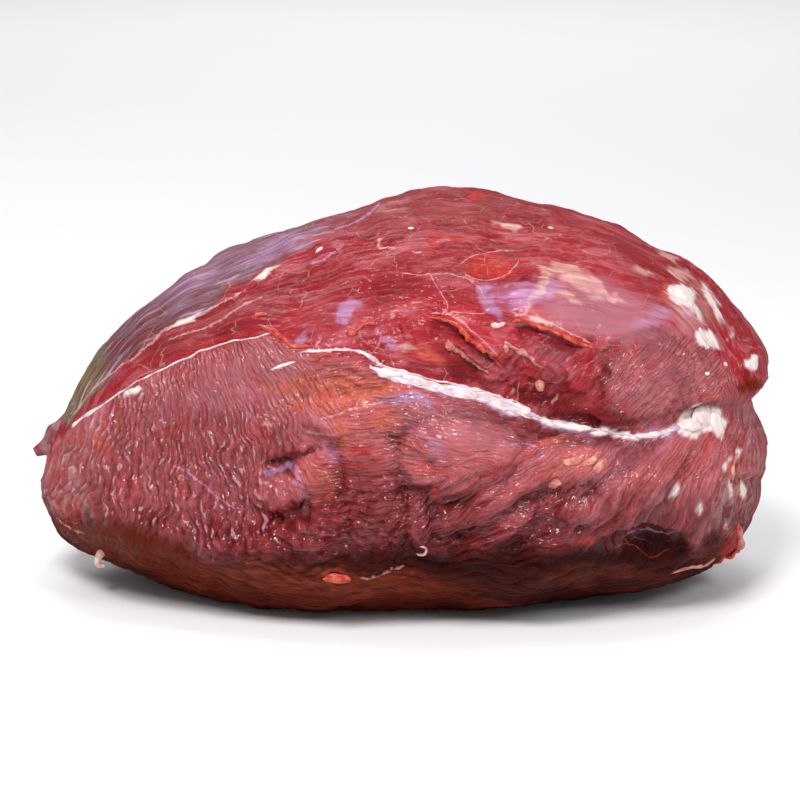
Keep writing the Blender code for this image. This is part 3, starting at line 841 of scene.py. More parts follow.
def sight(points):
    """Where points appear from the front: across and up the picture plane, in millimetres."""
    tilt = math.radians(SIGHT_ELEVATION_DEG)
    across, back, up = points[:, 0], points[:, 1], points[:, 2] - MIDDLE_HEIGHT_MM
    distance = SIGHT_DISTANCE_MM + back * math.cos(tilt) - up * math.sin(tilt)
    scale = SIGHT_DISTANCE_MM / distance
    height = SIGHT_MIDDLE_MM + (back * math.sin(tilt) + up * math.cos(tilt)) * scale
    return np.column_stack([across * scale, height])


def facing_sight(normals):
    """How squarely each surface faces the sight: 1 squarely, 0 edge on."""
    tilt = math.radians(SIGHT_ELEVATION_DEG)
    return normals @ np.array([0, -math.cos(tilt), math.sin(tilt)])


def by_line(seen, line, reach):
    """The points near a line: which they are, how far above it, how far off, and the share along it."""
    path = smooth_path(line)
    inside = (seen > path.min(axis=0) - reach) & (seen < path.max(axis=0) + reach)
    near = np.flatnonzero(inside.all(axis=1))
    gap = seen[near][:, None, :] - path[None, :, :]
    nearest = np.argmin((gap**2).sum(axis=2), axis=1)
    way = np.gradient(path, axis=0)[nearest]
    way /= np.linalg.norm(way, axis=1)[:, None]
    gap = gap[np.arange(len(near)), nearest]
    above = way[:, 0] * gap[:, 1] - way[:, 1] * gap[:, 0]
    return near, above, np.hypot(gap[:, 0], gap[:, 1]), nearest / (len(path) - 1)


def fade_at_ends(share, length=0.15):
    """0 at a line's ends and 1 along the rest of it."""
    return smoothstep(0, length, share) * smoothstep(0, length, 1 - share)


def broad_relief(seen, line, height, above_reach, below_reach):
    """A ridge, or a crease where the height is negative, that runs out at the line's ends."""
    result = np.zeros(len(seen))
    near, above, off, share = by_line(seen, line, 3 * max(above_reach, below_reach))
    reach = np.where(above > 0, above_reach, below_reach)
    result[near] = height * fade_at_ends(share) * np.exp(-(off / reach) ** 2)
    return result


def fold_relief(seen, line, rise, rise_reach, drop, drop_reach):
    """The lip of a flap, which stands out above its line and is cut in sharply below it."""
    result = np.zeros(len(seen))
    near, above, off, share = by_line(seen, line, 2.5 * max(rise_reach, drop_reach))
    lip = smoothstep(-0.7, 0.5, above)
    raised = rise * lip * np.exp(-(off / rise_reach) ** 2)
    cut_in = drop * (1 - lip) * np.exp(-(off / drop_reach) ** 2)
    result[near] = (raised - cut_in) * fade_at_ends(share, 0.2)
    return result


def oval(seen, middle, reach, turn):
    """1 in the middle of an oval, 0 on its edge, and negative outside."""
    turn = math.radians(turn)
    across, up = (seen - np.array(middle)).T
    along = (across * math.cos(turn) + up * math.sin(turn)) / reach[0]
    over = (up * math.cos(turn) - across * math.sin(turn)) / reach[1]
    return 1 - np.sqrt(along**2 + over**2)


def mound_relief(seen, middle, reach, turn, height):
    """An oval mound, or a hollow where the height is negative."""
    inside = np.clip(oval(seen, middle, reach, turn), 0, 1)
    return height * (inside * (2 - inside)) ** 2


def broad_form(points, normals):
    """The relief that the part's source has too, in millimetres."""
    seen = sight(points)
    front = np.zeros(len(points))
    for line in BROAD_LINES:
        front += broad_relief(seen, *line)
    for mound in FRONT_MOUNDS:
        front += mound_relief(seen, *mound)
    back = np.zeros(len(points))
    for line in BACK_LINES:
        back += broad_relief(points[:, [0, 2]], *line)
    total = front * smoothstep(-0.4, 0.1, facing_sight(normals))
    total += back * smoothstep(-0.2, 0.3, normals[:, 1])
    for middle, reach, height in BODY_MOUNDS:
        distance = np.linalg.norm(points - np.array(middle), axis=1)
        total += height * np.clip(1 - (distance / reach) ** 2, 0, 1) ** 2
    for size, height in LUMPS:
        total += height * clouds(points, size)
    return total


# The grain and the fine relief

def lower_share(points, seen, front):
    """1 on the lower muscle, whose cut face is browner and rougher, and 0 on the upper one."""
    seam = smooth_path(CUT_EDGE[:-1] + SEAM)
    border = np.interp(seen[:, 0], seam[:, 0], seam[:, 1])
    on_front = smoothstep(-1.2, 1.2, border - seen[:, 1])
    back_seam = smooth_path(BACK_SEAM[::-1])
    back_border = np.interp(points[:, 0], back_seam[:, 0], back_seam[:, 1])
    on_back = smoothstep(-3.0, 3.0, back_border - points[:, 2])
    return on_back + (on_front - on_back) * front


def fibre_places(points, seen):
    """Places along and across the fibres: each muscle's plain grain, the ends' and each region's own."""
    turn = np.arctan2(points[:, 2] - MIDDLE_HEIGHT_MM, -points[:, 1])
    warp = 1.6 * clouds(points, 17, 3) + 0.5 * clouds(points, 5, 4)
    drawn_in = np.sign(points[:, 0]) * np.maximum(np.abs(points[:, 0]) - 84, 0) ** 2 * 0.035
    over_tip = ROUND_MM * (math.pi / 2 + np.arcsin(np.clip(points[:, 1] / FRONT_DEPTH_MM, -1, 1)))
    at_tip = smoothstep(88, 120, np.abs(points[:, 0])) * smoothstep(-20, 0, points[:, 2] - MIDDLE_HEIGHT_MM)
    around = turn * ROUND_MM
    around += at_tip * (over_tip - around)
    plain = np.column_stack([points[:, 0] + drawn_in, around + warp, np.zeros(len(points))])
    slope = math.radians(END_SLOPE_DEG) * np.sign(points[:, 0])
    along = points[:, 2] * np.sin(slope) + points[:, 1] * np.cos(slope)
    across = points[:, 1] * np.sin(slope) - points[:, 2] * np.cos(slope)
    ends = np.column_stack([along, across + 1.6 * warp, 2.0 + np.sign(points[:, 0])])
    places = [plain, plain, ends]
    for number, (_, _, _, pole, _, _, _) in enumerate(GRAIN_REGIONS, 1):
        if isinstance(pole, tuple):
            gap = seen - np.array(pole)
            along = np.hypot(gap[:, 0], gap[:, 1])
            across = np.arctan2(gap[:, 1], gap[:, 0]) * FAN_MM
        else:
            slope = math.radians(pole)
            along = seen[:, 0] * math.cos(slope) + seen[:, 1] * math.sin(slope)
            across = seen[:, 1] * math.cos(slope) - seen[:, 0] * math.sin(slope)
        places.append(np.column_stack([along, across + warp, np.full(len(points), 4.0 * number)]))
    return places


def region_shares(points, normals, seen, front, lower):
    """How strongly each grain holds each point: the plain ones, the ends' and each region's own."""
    wander = np.column_stack([clouds(points, 6, 51), clouds(points, 6, 52)]) * 2.0
    ends = smoothstep(0.62, 0.84, np.abs(normals[:, 0]) + 0.16 * clouds(points, 14, 53))
    ends *= smoothstep(0.45, 0.15, facing_sight(normals) + 0.1 * clouds(points, 9, 54))
    shares = [0.1 * (1 - lower), 0.1 * lower, 0.6 * ends]
    for middle, reach, slant, _, _, _, _ in GRAIN_REGIONS:
        inside = np.clip(oval(seen + wander, middle, reach, slant), 0, 1) * front
        shares.append(inside * (lower if middle[1] < UPPER_REGIONS_MM else 1 - lower))
    return np.array(shares)


def grain_kinds():
    """The length, width and height of the bundles in each region of the grain."""
    return [UPPER_GRAIN_MM, LOWER_GRAIN_MM, END_GRAIN_MM] + [region[4:] for region in GRAIN_REGIONS]


def bundle_relief(places, counts, shares, lower):
    """Rounded bundles of fibre with sharp creases between them, in millimetres."""
    relief = np.zeros(len(lower))
    for number, (length, width, height) in enumerate(grain_kinds()):
        held = np.flatnonzero(shares[number] > 0)
        place = places[number][held]
        bundles = 0.8 * height * strands(place, counts[number][held], length, width, number)
        if number < 2:
            relief[held] += shares[number][held] * 10 * bundles
        else:
            bundles += 0.4 * height * pillows(place, (length * 0.6, width * 1.3, 1.0), number + 20)
            relief[held] += smoothstep(0.0, 0.3, shares[number][held]) * (bundles - relief[held])
    return relief


def cobbles(points, seen, front, lower):
    """Lumps and pits of the cut bundles on the lower muscle, largest towards its foot."""
    zone = np.clip(oval(seen, (-55, 36), (62, 30), -6), 0, 1) * front * lower
    lumps = pillows(np.column_stack([seen, points[:, 1] * 0.3]), (4.0, 7.5, 6.0), 8)
    small = pillows(np.column_stack([seen, points[:, 1] * 0.3]), (2.4, 4.4, 4.0), 9)
    return smoothstep(0.0, 0.45, zone) * (0.9 * lumps + 0.3 * small)


def ledges(points, seen, front):
    """Ramps that end in a sharp step, where sheets of muscle were torn."""
    level = 2.1 * clouds(points, (11, 9, 8), 61) + 0.45 * clouds(points, 3.4, 62)
    ramp = level - np.floor(level)
    step = ramp * (1 - smoothstep(0.84, 1.0, ramp)) - 0.4
    strength = np.zeros(len(points))
    for middle, reach, turn, height in LEDGES:
        strength = np.maximum(strength, height * smoothstep(0, 0.4, oval(seen, middle, reach, turn)))
    return step * strength * front


def lobe_relief(seen, front, lower):
    """The lobes of the lower muscle, in millimetres, and 1 where they lie."""
    relief = np.zeros(len(seen))
    for middle, reach, turn, height in LOBES:
        inside = np.clip(oval(seen, middle, reach, turn), 0, 1)
        relief = np.maximum(relief, height * (inside * (2 - inside)) ** 0.8)
    zone = smoothstep(0.0, 0.25, oval(seen, (36, 42), (84, 36), 0)) * front * lower
    return relief * front * lower, zone


def fine_form(points, normals, field_relief, seen, front, lower):
    """The finer relief: folds, bundles of fibre, cobbles and small lumps, in millimetres."""
    wander = np.column_stack([clouds(points, 7, 5), clouds(points, 7, 6)]) * sizes().warp / MM * 0.5
    total = np.zeros(len(points))
    for fold in FOLDS:
        total += fold_relief(seen + wander, *fold)
    total *= FOLD_SHARE * front
    lobes, zone = lobe_relief(seen + 1.4 * wander, front, lower)
    total += LOBE_SHARE * lobes - LOBE_BED_MM * zone
    total += field_relief * sizes().grain_height
    total += cobbles(points, seen, front, lower)
    total += LEDGE_SHARE * ledges(points, seen, front)
    behind = (1 - front) * smoothstep(-0.9, -0.4, normals[:, 2])
    total += behind * lower * 1.5 * pillows(points, (36, 30, 13), 81)
    total += behind * lower * 0.55 * pillows(points, (13, 12, 5), 82)
    total += behind * (1 - lower) * 0.9 * clouds(points, (44, 18, 18), 83)
    rugged = lower * smoothstep(60, 0, seen[:, 0]) * smoothstep(70, 40, seen[:, 1])
    total += 0.55 * clouds(points, 4.2, 11) * (0.4 + 0.6 * rugged)
    total += 0.25 * clouds(points, 2.1, 12) * (0.3 + 0.7 * rugged)
    return total


# Tissues

def cut_share(seen, front, lower):
    """1 where fibres were cut across, which is the lower muscle and one face of the upper muscle."""
    corners = smooth_path(UPPER_CUT, closed=True, steps=8)
    following = np.roll(corners, -1, axis=0)
    wander = np.column_stack([clouds(np.column_stack([seen, seen[:, 0] * 0]), 6, 71)] * 2) * 1.5
    place = seen + wander
    inside = np.zeros(len(seen), bool)
    nearest = np.full(len(seen), 99.0)
    for (x0, y0), (x1, y1) in zip(corners, following):
        crosses = (place[:, 1] < y0) != (place[:, 1] < y1)
        rise = y1 - y0 if abs(y1 - y0) > 1e-9 else 1e-9
        inside ^= crosses & (place[:, 0] < x0 + (place[:, 1] - y0) * (x1 - x0) / rise)
        nearest = np.minimum(nearest, np.hypot(place[:, 0] - x0, place[:, 1] - y0))
    distance = np.where(inside, nearest, -nearest)
    return np.maximum(lower, smoothstep(-1.5, 2.0, distance) * front)


def stain_front(masks, points, seen, front, lower, wander):
    """Lays the stains, the white bands of the seam and, as painted shade, the darker foot on the front."""
    wide, tight = wander
    wandered = seen + (2.2 * wide + 0.9 * tight) * sizes().warp / MM
    whites = seen + (0.6 * wide + 0.6 * tight) * sizes().warp / MM
    for tissue, middle, reach, turn, strength in STAINS:
        if tissue == "white":
            stain = np.clip(0.5 + oval(whites, middle, reach, turn) * min(reach) / 1.8, 0, 1)
        else:
            stain = smoothstep(-0.25, 0.6, oval(wandered, middle, reach, turn))
        masks[tissue] = np.maximum(masks[tissue], strength * stain * front)
    for line, half_width in WHITE_BANDS:
        near, _, off, share = by_line(whites, line, 5.0)
        band = np.clip(0.5 + (half_width * fade_at_ends(share, 0.1) - off) / 1.4, 0, 1)
        masks["white"][near] = np.maximum(masks["white"][near], band * front[near])
    # Painted shade: the lower muscle darkens towards its foot.
    shade = 0.85 * lower * front * smoothstep(70, 14, seen[:, 1] + 6 * clouds(points, 14, 25))
    masks["deep"] = np.maximum(masks["deep"], shade)


def lay_silverskin(masks, points, normals, seen, front, lower, wander):
    """Lays the silverskin over the upper left and the back, with lilac streaks of thin skin and painted
    sheen.
    """
    wide, tight = wander
    wandered = seen + (2.2 * wide + 0.9 * tight) * sizes().warp / MM
    turn = np.arctan2(points[:, 2] - MIDDLE_HEIGHT_MM, -points[:, 1])
    left = smoothstep(30, -60, points[:, 0])
    at_ends = smoothstep(0.5, 0.75, np.abs(normals[:, 0]))
    edge = np.interp(seen[:, 0], *SILVER_EDGE_MM)
    beyond = smoothstep(-1.5, 3.0, wandered[:, 1] - edge) * front
    over_back = smoothstep(0.75, 1.6, turn) * (1 - front) * (0.4 + 0.6 * left) * (1 - 0.5 * at_ends)
    patchy = smoothstep(-0.25, 0.25, clouds(points, (34, 16, 16), 31) + 0.25 * clouds(points, 6, 32))
    masks["silver"] = np.maximum(beyond * left, over_back * patchy) * (1 - lower)
    around = np.column_stack([points[:, 0], turn * ROUND_MM, lower * 9])
    streaks = clouds(around, (30, 5, 9), 33)
    streaks += at_ends * (clouds(points, (12, 9, 24), 34) - streaks)
    streaks = smoothstep(0.0, 0.35, streaks)
    on_skin = 0.3 * masks["silver"] * smoothstep(-110, -80, points[:, 0])
    behind = 0.5 * (1 - front) * (1 - lower) * patchy
    masks["lilac"] = np.maximum(masks["lilac"], streaks * np.maximum(on_skin, behind))


def stain_back(masks, points, normals, front, lower, wander):
    """Lays the fat of the back and of its seam, and paints shade on the foot and the underside."""
    wide, tight = wander
    fat = smoothstep(0.3, 0.5, clouds(points, (34, 8, 7), 35) + 0.2 * clouds(points, 3, 36))
    fat *= (1 - front) * (1 - 0.6 * lower) * smoothstep(0.2, -0.2, -normals[:, 2])
    masks["cream"] = np.maximum(masks["cream"], 0.6 * fat)
    near, _, off, share = by_line(points[:, [0, 2]] + 2.2 * wide, BACK_SEAM, 6.0)
    band = smoothstep(3.4, 0.6, off + 1.8 * clouds(points[near], (17, 17, 5), 38) + tight[near, 0])
    band *= fade_at_ends(share, 0.08) * smoothstep(-0.1, 0.3, normals[near, 1])
    masks["cream"][near] = np.maximum(masks["cream"][near], 0.8 * band)
    masks["lilac"][near] = np.maximum(masks["lilac"][near], 0.5 * band)
    # Painted shade: the back of the lower muscle darkens towards its foot, in uneven patches.
    foot_shade = 0.8 * smoothstep(66, 8, points[:, 2]) + 0.35 * clouds(points, (24, 24, 9), 39)
    masks["deep"] = np.maximum(masks["deep"], (1 - front) * lower * foot_shade)
    # Painted shade: faces turned down near the foot take the dark underside colour, and some the membrane,
    # whose orange-brown is partly a painted warm reflection.
    under = smoothstep(26, 8, points[:, 2]) * smoothstep(0.3, -0.5, normals[:, 2])
    masks["brown"] = np.maximum(masks["brown"], under)
    skinned = 0.6 * under * smoothstep(-0.2, 0.3, clouds(points, 15, 37))
    masks["membrane"] = np.maximum(masks["membrane"], skinned)


def tissue_masks(points, normals, seen, front, lower):
    """How much of each tissue shows at each point, from 0 to 1."""
    masks = {tissue: np.zeros(len(points)) for tissue in TISSUES}
    wide = np.column_stack([clouds(points, 9, 21), clouds(points, 9, 22)])
    tight = np.column_stack([clouds(points, 2.8, 23), clouds(points, 2.8, 24)])
    stain_front(masks, points, seen, front, lower, (wide, tight))
    lay_silverskin(masks, points, normals, seen, front, lower, (wide, tight))
    stain_back(masks, points, normals, front, lower, (wide, tight))
    return masks


def thread_layer(seen, points, front):
    """Each point's distance above the nearest thread, half that thread's width, and its kind."""
    layer = np.zeros((len(seen), 3))
    layer[:, 0] = 9.0
    wander = np.column_stack([clouds(points, 5, 41), clouds(points, 5, 42)]) * 0.5
    for tissue, half_width, line in THREADS:
        near, above, off, share = by_line(seen + wander, line, 3.0)
        closer = off < np.abs(layer[near, 0])
        picked = near[closer]
        layer[picked, 0] = above[closer]
        layer[picked, 1] = (half_width * fade_at_ends(share, 0.12) * front[near])[closer]
        layer[picked, 2] = THREAD_KINDS.index(tissue) / (len(THREAD_KINDS) - 1)
    layer[layer[:, 0] > 8, 1] = 0
    return layer


def set_layer(mesh, name, values):
    """Stores three numbers at each vertex or at each face's corner, for the material to read."""
    domain = "POINT" if len(values) == len(mesh.vertices) else "CORNER"
    layer = mesh.attributes.new(name, "FLOAT_VECTOR", domain)
    layer.data.foreach_set("vector", np.ascontiguousarray(values, np.float32).ravel())


# Materials

def add(tree, kind, settings=None, links=None, out=0):
    """Adds a shader node with its settings and links, and gives one of its outputs."""
    node = tree.nodes.new("ShaderNode" + kind)
    for name, value in (settings or {}).items():
        if isinstance(name, int) or name in node.inputs:
            node.inputs[name].default_value = value
        else:
            setattr(node, name, value)
    for name, source in (links or {}).items():
        tree.links.new(source, node.inputs[name])
    return node.outputs[out]


def new_material(name, roughness, coat, coat_roughness, subsurface, radius_mm):
    """A named material with a Principled shader, and its tree."""
    material = bpy.data.materials.new(name)
    material.use_nodes = True
    shader = material.node_tree.nodes["Principled BSDF"]
    shader.inputs["Metallic"].default_value = 0.0
    shader.inputs["Roughness"].default_value = roughness
    shader.inputs["IOR"].default_value = MEAT_IOR
    shader.inputs["Specular IOR Level"].default_value = 0.1
    shader.inputs["Coat Weight"].default_value = coat
    shader.inputs["Coat Roughness"].default_value = coat_roughness
    shader.inputs["Coat IOR"].default_value = WET_FILM_IOR
    shader.inputs["Subsurface Weight"].default_value = subsurface
    shader.inputs["Subsurface Radius"].default_value = (1.0, 0.25, 0.15)
    shader.inputs["Subsurface Scale"].default_value = radius_mm * MM
    return material, material.node_tree, shader


def muscle_patterns(tree):
    """The stored layers and the noises that the muscle's colour and relief are worked out from."""
    at = {}
    for name, parts in LAYERS.items():
        stored = add(tree, "Attribute", {"attribute_name": name}, out="Vector")
        at.update(zip(parts, add(tree, "SeparateXYZ", links={0: stored}).node.outputs))
    grain = add(tree, "Attribute", {"attribute_name": "grain"}, out="Vector")
    for name, (length, width, detail) in FIBRE_NOISES.items():
        scaled = add(tree, "VectorMath", {**TIMES, 1: (1 / length, 1 / width, 1.0)}, {0: grain})
        settings = {"Scale": 1.0, "Detail": detail, "Roughness": 0.6, "Distortion": 0.5}
        at[name] = add(tree, "TexNoise", settings, {"Vector": scaled})
    place = add(tree, "TexCoord", out="Object")
    for name, (size, detail) in SOLID_NOISES.items():
        settings = {"Scale": 1 / (size * MM), "Detail": detail, "Roughness": 0.6}
        at[name] = add(tree, "TexNoise", settings, {"Vector": place})
    stretched = add(tree, "VectorMath", {**TIMES, 1: (0.22, 1.0, 1.0)}, {0: grain})
    settings = {
        "wave_type": "BANDS", "bands_direction": "Y", "Scale": 2 * math.pi / (20 * LINE_SPACING_MM),
        "Distortion": 5.0, "Detail": 3.0, "Detail Scale": 0.9, "Detail Roughness": 0.6,
    }
    at["lines"] = add(tree, "TexWave", settings, {"Vector": stretched}, out="Fac")
    swirl = add(tree, "TexNoise", {"Scale": 1 / (SWIRL_MM * MM), "Detail": 2.0}, {"Vector": place}, "Color")
    settings = {**TIMES_PLUS, 1: (WEB_BEND_MM * MM,) * 3}
    bent = add(tree, "VectorMath", settings, {0: swirl, 2: place})
    settings = {"feature": "DISTANCE_TO_EDGE", "Scale": 1 / (WEB_MM * MM)}
    at["web"] = add(tree, "TexVoronoi", settings, {"Vector": bent}, "Distance")

    crest = add(tree, "Math", {**TIMES, 1: math.pi}, {0: at["count"]})
    for operation in ("SINE", "ABSOLUTE"):
        crest = add(tree, "Math", {"operation": operation}, {0: crest})
    patchy = add(tree, "Math", {**TIMES_PLUS, 1: 1.7, 2: 0.15}, {0: at["bundles"]})
    patchy = add(tree, "Math", TIMES, {0: patchy, 1: at["ridged"]})
    at["raised"] = add(tree, "Math", TIMES, {0: crest, 1: patchy})
    at["fine"] = add(tree, "Mix", {}, {0: at["lower"], 2: at["streaks"], 3: at["strands"]})
    at["pale"] = add(tree, "Math", TIMES, {0: at["strands"], 1: at["bundles"]})
    at["thin"] = add(tree, "Math", {**TIMES_PLUS, 1: -0.5, 2: 1.0}, {0: at["lower"]})
    settings = {**SMOOTH, 1: 0.52, 2: 0.6}
    # Patches of the wet noise where painted glints go on the crests.
    at["painted_glint_spots"] = add(tree, "MapRange", settings, {0: at["wet"]})
    upper = add(tree, "Math", {"operation": "SUBTRACT", 0: 1.0}, {1: at["lower"]})
    upper = add(tree, "Math", {"operation": "SUBTRACT"}, {0: upper, 1: at["calm"]})
    upper = add(tree, "Math", {"operation": "MAXIMUM", 1: 0.0}, {0: upper})
    patches = add(tree, "MapRange", {**SMOOTH, 1: 0.48, 2: 0.58}, {0: at["mottle"]})
    at["hairy"] = add(tree, "Math", TIMES, {0: upper, 1: patches})
    return at


def lay_tissue(tree, amount, colour, tissue):
    """A tissue's colour laid over a colour, as far as the amount says."""
    settings = {**RGBA, 7: (*getattr(colours(), tissue), 1.0)}
    return add(tree, "Mix", settings, {0: amount, 6: colour}, 2)


def lay_streaks(tree, at, colour, streaks):
    """Tissues laid over a colour in the streaks or patches of a noise, each within its mask."""
    for tissue, mask, pattern, low, high, share in streaks:
        amount = add(tree, "MapRange", {**SMOOTH, 1: low, 2: high, 4: share}, {0: at[pattern]})
        if mask:
            amount = add(tree, "Math", TIMES, {0: at[mask], 1: amount})
        colour = lay_tissue(tree, amount, colour, tissue)
    return colour


def lay_stains(tree, at, colour, stains):
    """Tissues laid over a colour by their stored amounts, with edges that a noise frays."""
    for tissue, strength, fray, sharpness, share in stains:
        uneven = add(tree, "Math", {**TIMES_PLUS, 1: 1.9, 2: 0.05}, {0: at[fray]})
        amount = add(tree, "Math", {**TIMES, 1: strength}, {0: at[tissue]})
        amount = add(tree, "Math", TIMES, {0: amount, 1: uneven})
        settings = {**SMOOTH, 1: 0.5 - 0.5 / sharpness, 2: 0.5 + 0.5 / sharpness, 4: share}
        amount = add(tree, "MapRange", settings, {0: amount})
        colour = lay_tissue(tree, amount, colour, tissue)
    return colour


def lay_threads(tree, at, colour):
    """The threads laid over a colour, each in its tissue's colour and with a frayed edge."""
    tint = add(tree, "ValToRGB", links={0: at["kind"]})
    ramp = tint.node.color_ramp
    ramp.interpolation = "CONSTANT"
    while len(ramp.elements) < len(THREAD_KINDS):
        ramp.elements.new(0.5)
    for number, tissue in enumerate(THREAD_KINDS):
        ramp.elements[number].position = max(0.0, (number - 0.5) / (len(THREAD_KINDS) - 1))
        ramp.elements[number].color = (*getattr(colours(), tissue), 1.0)
    off = add(tree, "Math", {"operation": "ABSOLUTE"}, {0: at["gap"]})
    frayed = add(tree, "MapRange", {**SMOOTH, 1: 0.3, 2: 0.7, 3: -0.2, 4: 1.4}, {0: at["fray"]})
    reach = add(tree, "Math", TIMES, {0: at["half_width"], 1: frayed})
    inside = add(tree, "Math", {"operation": "SUBTRACT"}, {0: reach, 1: off})
    inside = add(tree, "MapRange", {**SMOOTH, 1: -0.24, 2: 0.16, 4: 0.6}, {0: inside})
    present = add(tree, "Math", {"operation": "GREATER_THAN", 1: 0.05}, {0: at["half_width"]})
    amount = add(tree, "Math", TIMES, {0: inside, 1: present})
    return add(tree, "Mix", RGBA, {0: amount, 6: colour, 7: tint}, 2)


def raw_muscle():
    """Raw beef muscle, cut and torn: wet bundles of fibre under thin silverskin, fat and membrane.

    The water film gives small sharp glints on a soft, dark red body, and each tissue keeps the
    ragged edge that the knife left.
    """
    material, tree, shader = new_material("raw_beef_muscle_cut", 0.55, 0.75, 0.13, 0.1, 1.5)
    palette = colours()
    at = muscle_patterns(tree)
    settings = {**RGBA, 6: (*palette.upper, 1.0), 7: (*palette.lower, 1.0)}
    colour = add(tree, "Mix", settings, {0: at["lower"]}, 2)
    colour = lay_streaks(tree, at, colour, MEAT_STREAKS)
    colour = lay_stains(tree, at, colour, LOW_STAINS)
    colour = lay_streaks(tree, at, colour, SILVER_STREAKS)
    colour = lay_stains(tree, at, colour, HIGH_STAINS)
    # Painted light and shade: bundles and crests lighten the colour, and the relief's hollows darken it.
    tone = at["fine"]
    for pattern, weight in TONES:
        tone = add(tree, "Math", {**TIMES_PLUS, 1: weight}, {0: at[pattern], 2: tone})
    shading = add(tree, "MapRange", {**SMOOTH, 1: 0.5, 2: 1.4, 3: 0.7, 4: 1.22}, {0: tone})
    evened = add(tree, "Math", {**TIMES, 1: 0.7}, {0: at["calm"]})
    shading = add(tree, "Mix", {3: 1.02}, {0: evened, 2: shading})
    colour = add(tree, "VectorMath", {"operation": "SCALE"}, {0: colour, "Scale": shading})
    colour = lay_streaks(tree, at, colour, SURFACE_STREAKS)
    colour = lay_stains(tree, at, colour, FAT_STAINS)
    colour = lay_threads(tree, at, colour)
    tree.links.new(colour, shader.inputs["Base Color"])
    dull = add(tree, "MapRange", {**SMOOTH, 1: 0.3, 2: 0.7, 3: 0.48, 4: 0.66}, {0: at["mottle"]})
    tree.links.new(dull, shader.inputs["Roughness"])

    relief = at["strands"]
    for pattern, weight in RELIEF:
        relief = add(tree, "Math", {**TIMES_PLUS, 1: weight}, {0: at[pattern], 2: relief})
    swell = add(tree, "Math", {**TIMES_PLUS, 1: 0.26}, {0: at["raised"], 2: at["wet"]})
    rough = add(tree, "Math", {**TIMES_PLUS, 1: 0.5, 2: 0.35}, {0: at["lower"]})
    calmness = add(tree, "MapRange", {**SMOOTH, 1: 0.1, 2: 0.9, 3: 1.0, 4: 0.3}, {0: at["calm"]})
    strength = add(tree, "Math", TIMES, {0: rough, 1: calmness})
    for height, most_mm, socket in (
            (relief, BUMP_HEIGHT_MM, "Normal"), (swell, FILM_HEIGHT_MM, "Coat Normal")):
        links = {"Height": height, "Strength": strength}
        bump = add(tree, "Bump", {"Distance": most_mm * MM}, links)
        tree.links.new(bump, shader.inputs[socket])
    tree.links.new(at["wetness"], shader.inputs["Coat Weight"])
    return material


def plain_tissue(name, colour, shade, size_mm, bump_mm, roughness):
    """A tissue of one colour that is mottled towards a shade, with a wet, finely lumpy surface."""
    material, tree, shader = new_material(name, roughness, 0.4, 0.15, 0.2, 1.5)
    place = add(tree, "TexCoord", out="Object")
    settings = {"Scale": 1 / (size_mm * MM), "Detail": 4.0, "Roughness": 0.6}
    mottle = add(tree, "TexNoise", settings, {"Vector": place})
    amount = add(tree, "MapRange", {1: 0.42, 2: 0.62, 4: 0.9}, {0: mottle})
    settings = {**RGBA, 6: (*colour, 1.0), 7: (*shade, 1.0)}
    tree.links.new(add(tree, "Mix", settings, {0: amount}, 2), shader.inputs["Base Color"])
    film = add(tree, "TexNoise", {"Scale": 1 / (TISSUE_FILM_MM * MM), "Detail": 3.0}, {"Vector": place})
    bump = add(tree, "Bump", {"Strength": 0.6, "Distance": bump_mm * MM}, {"Height": film})
    tree.links.new(bump, shader.inputs["Normal"])
    tree.links.new(bump, shader.inputs["Coat Normal"])
    return material


def seam_fat():
    """Soft white seam fat, torn open: bright, a little waxy, with lilac meat showing through."""
    return plain_tissue("beef_fat_torn", colours().white, linear("#b493b2"), 5.0, 0.35, 0.38)


def soft_fat():
    """Soft fat in small lumps, pulled by hand: white, waxy and only faintly pink."""
    return plain_tissue("beef_fat_soft", colours().white, linear("#cfb2b2"), 4.0, 0.3, 0.4)


def fresh_tear():
    """The wet edge of a fresh tear, full of blood: saturated red with hard glints."""
    return plain_tissue("raw_beef_torn_edge", linear("#a82a22"), linear("#c8604c"), 2.6, 0.3, 0.3)


def salmon_tissue():
    """Loose tissue between the muscles, torn: salmon pink, soft and slightly see-through."""
    return plain_tissue("connective_tissue_torn", linear("#b0645a"), linear("#cf968a"), 2.4, 0.3, 0.35)


def sinew():
    """Stretched sinew: cream, smooth and shining."""
    return plain_tissue("sinew_stretched", colours().cream, linear("#f0dccb"), 1.8, 0.2, 0.3)


def dried_scrap():
    """A thin scrap of meat under silverskin: greyish and dull, with the dark red showing through."""
    return plain_tissue("raw_beef_scrap_dried", linear("#8d6668"), linear("#701d1e"), 6.0, 0.5, 0.5)


# Pieces

def finish_piece(piece, material):
    """Gives a piece its material and body."""
    piece.data.materials.clear()
    piece.data.materials.append(material)
    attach(piece, "root")


def object_from(grid, name):
    """A smooth-shaded object in the scene, from a bmesh."""
    bmesh.ops.recalc_face_normals(grid, faces=grid.faces)
    mesh = bpy.data.meshes.new(name)
    grid.to_mesh(mesh)
    grid.free()
    mesh.shade_smooth()
    piece = bpy.data.objects.new(name, mesh)
    bpy.context.scene.collection.objects.link(piece)
    return piece


def vertex_normals(mesh):
    """The vertex normals of a mesh."""
    normals = np.empty(len(mesh.vertices) * 3, np.float32)
    mesh.vertex_normals.foreach_get("vector", normals)
    return normals.reshape(-1, 3).astype(float)


def move_vertices(mesh, points):
    """Puts a mesh's vertices at the given points."""
    mesh.vertices.foreach_set("co", np.ascontiguousarray(points, np.float32).ravel())
    mesh.update()


def foot_share(masks):
    """1 where the brown foot and its membrane lie, which are dull and hold no ridges."""
    return np.clip(1.4 * np.maximum(masks["brown"], masks["membrane"]), 0, 1)


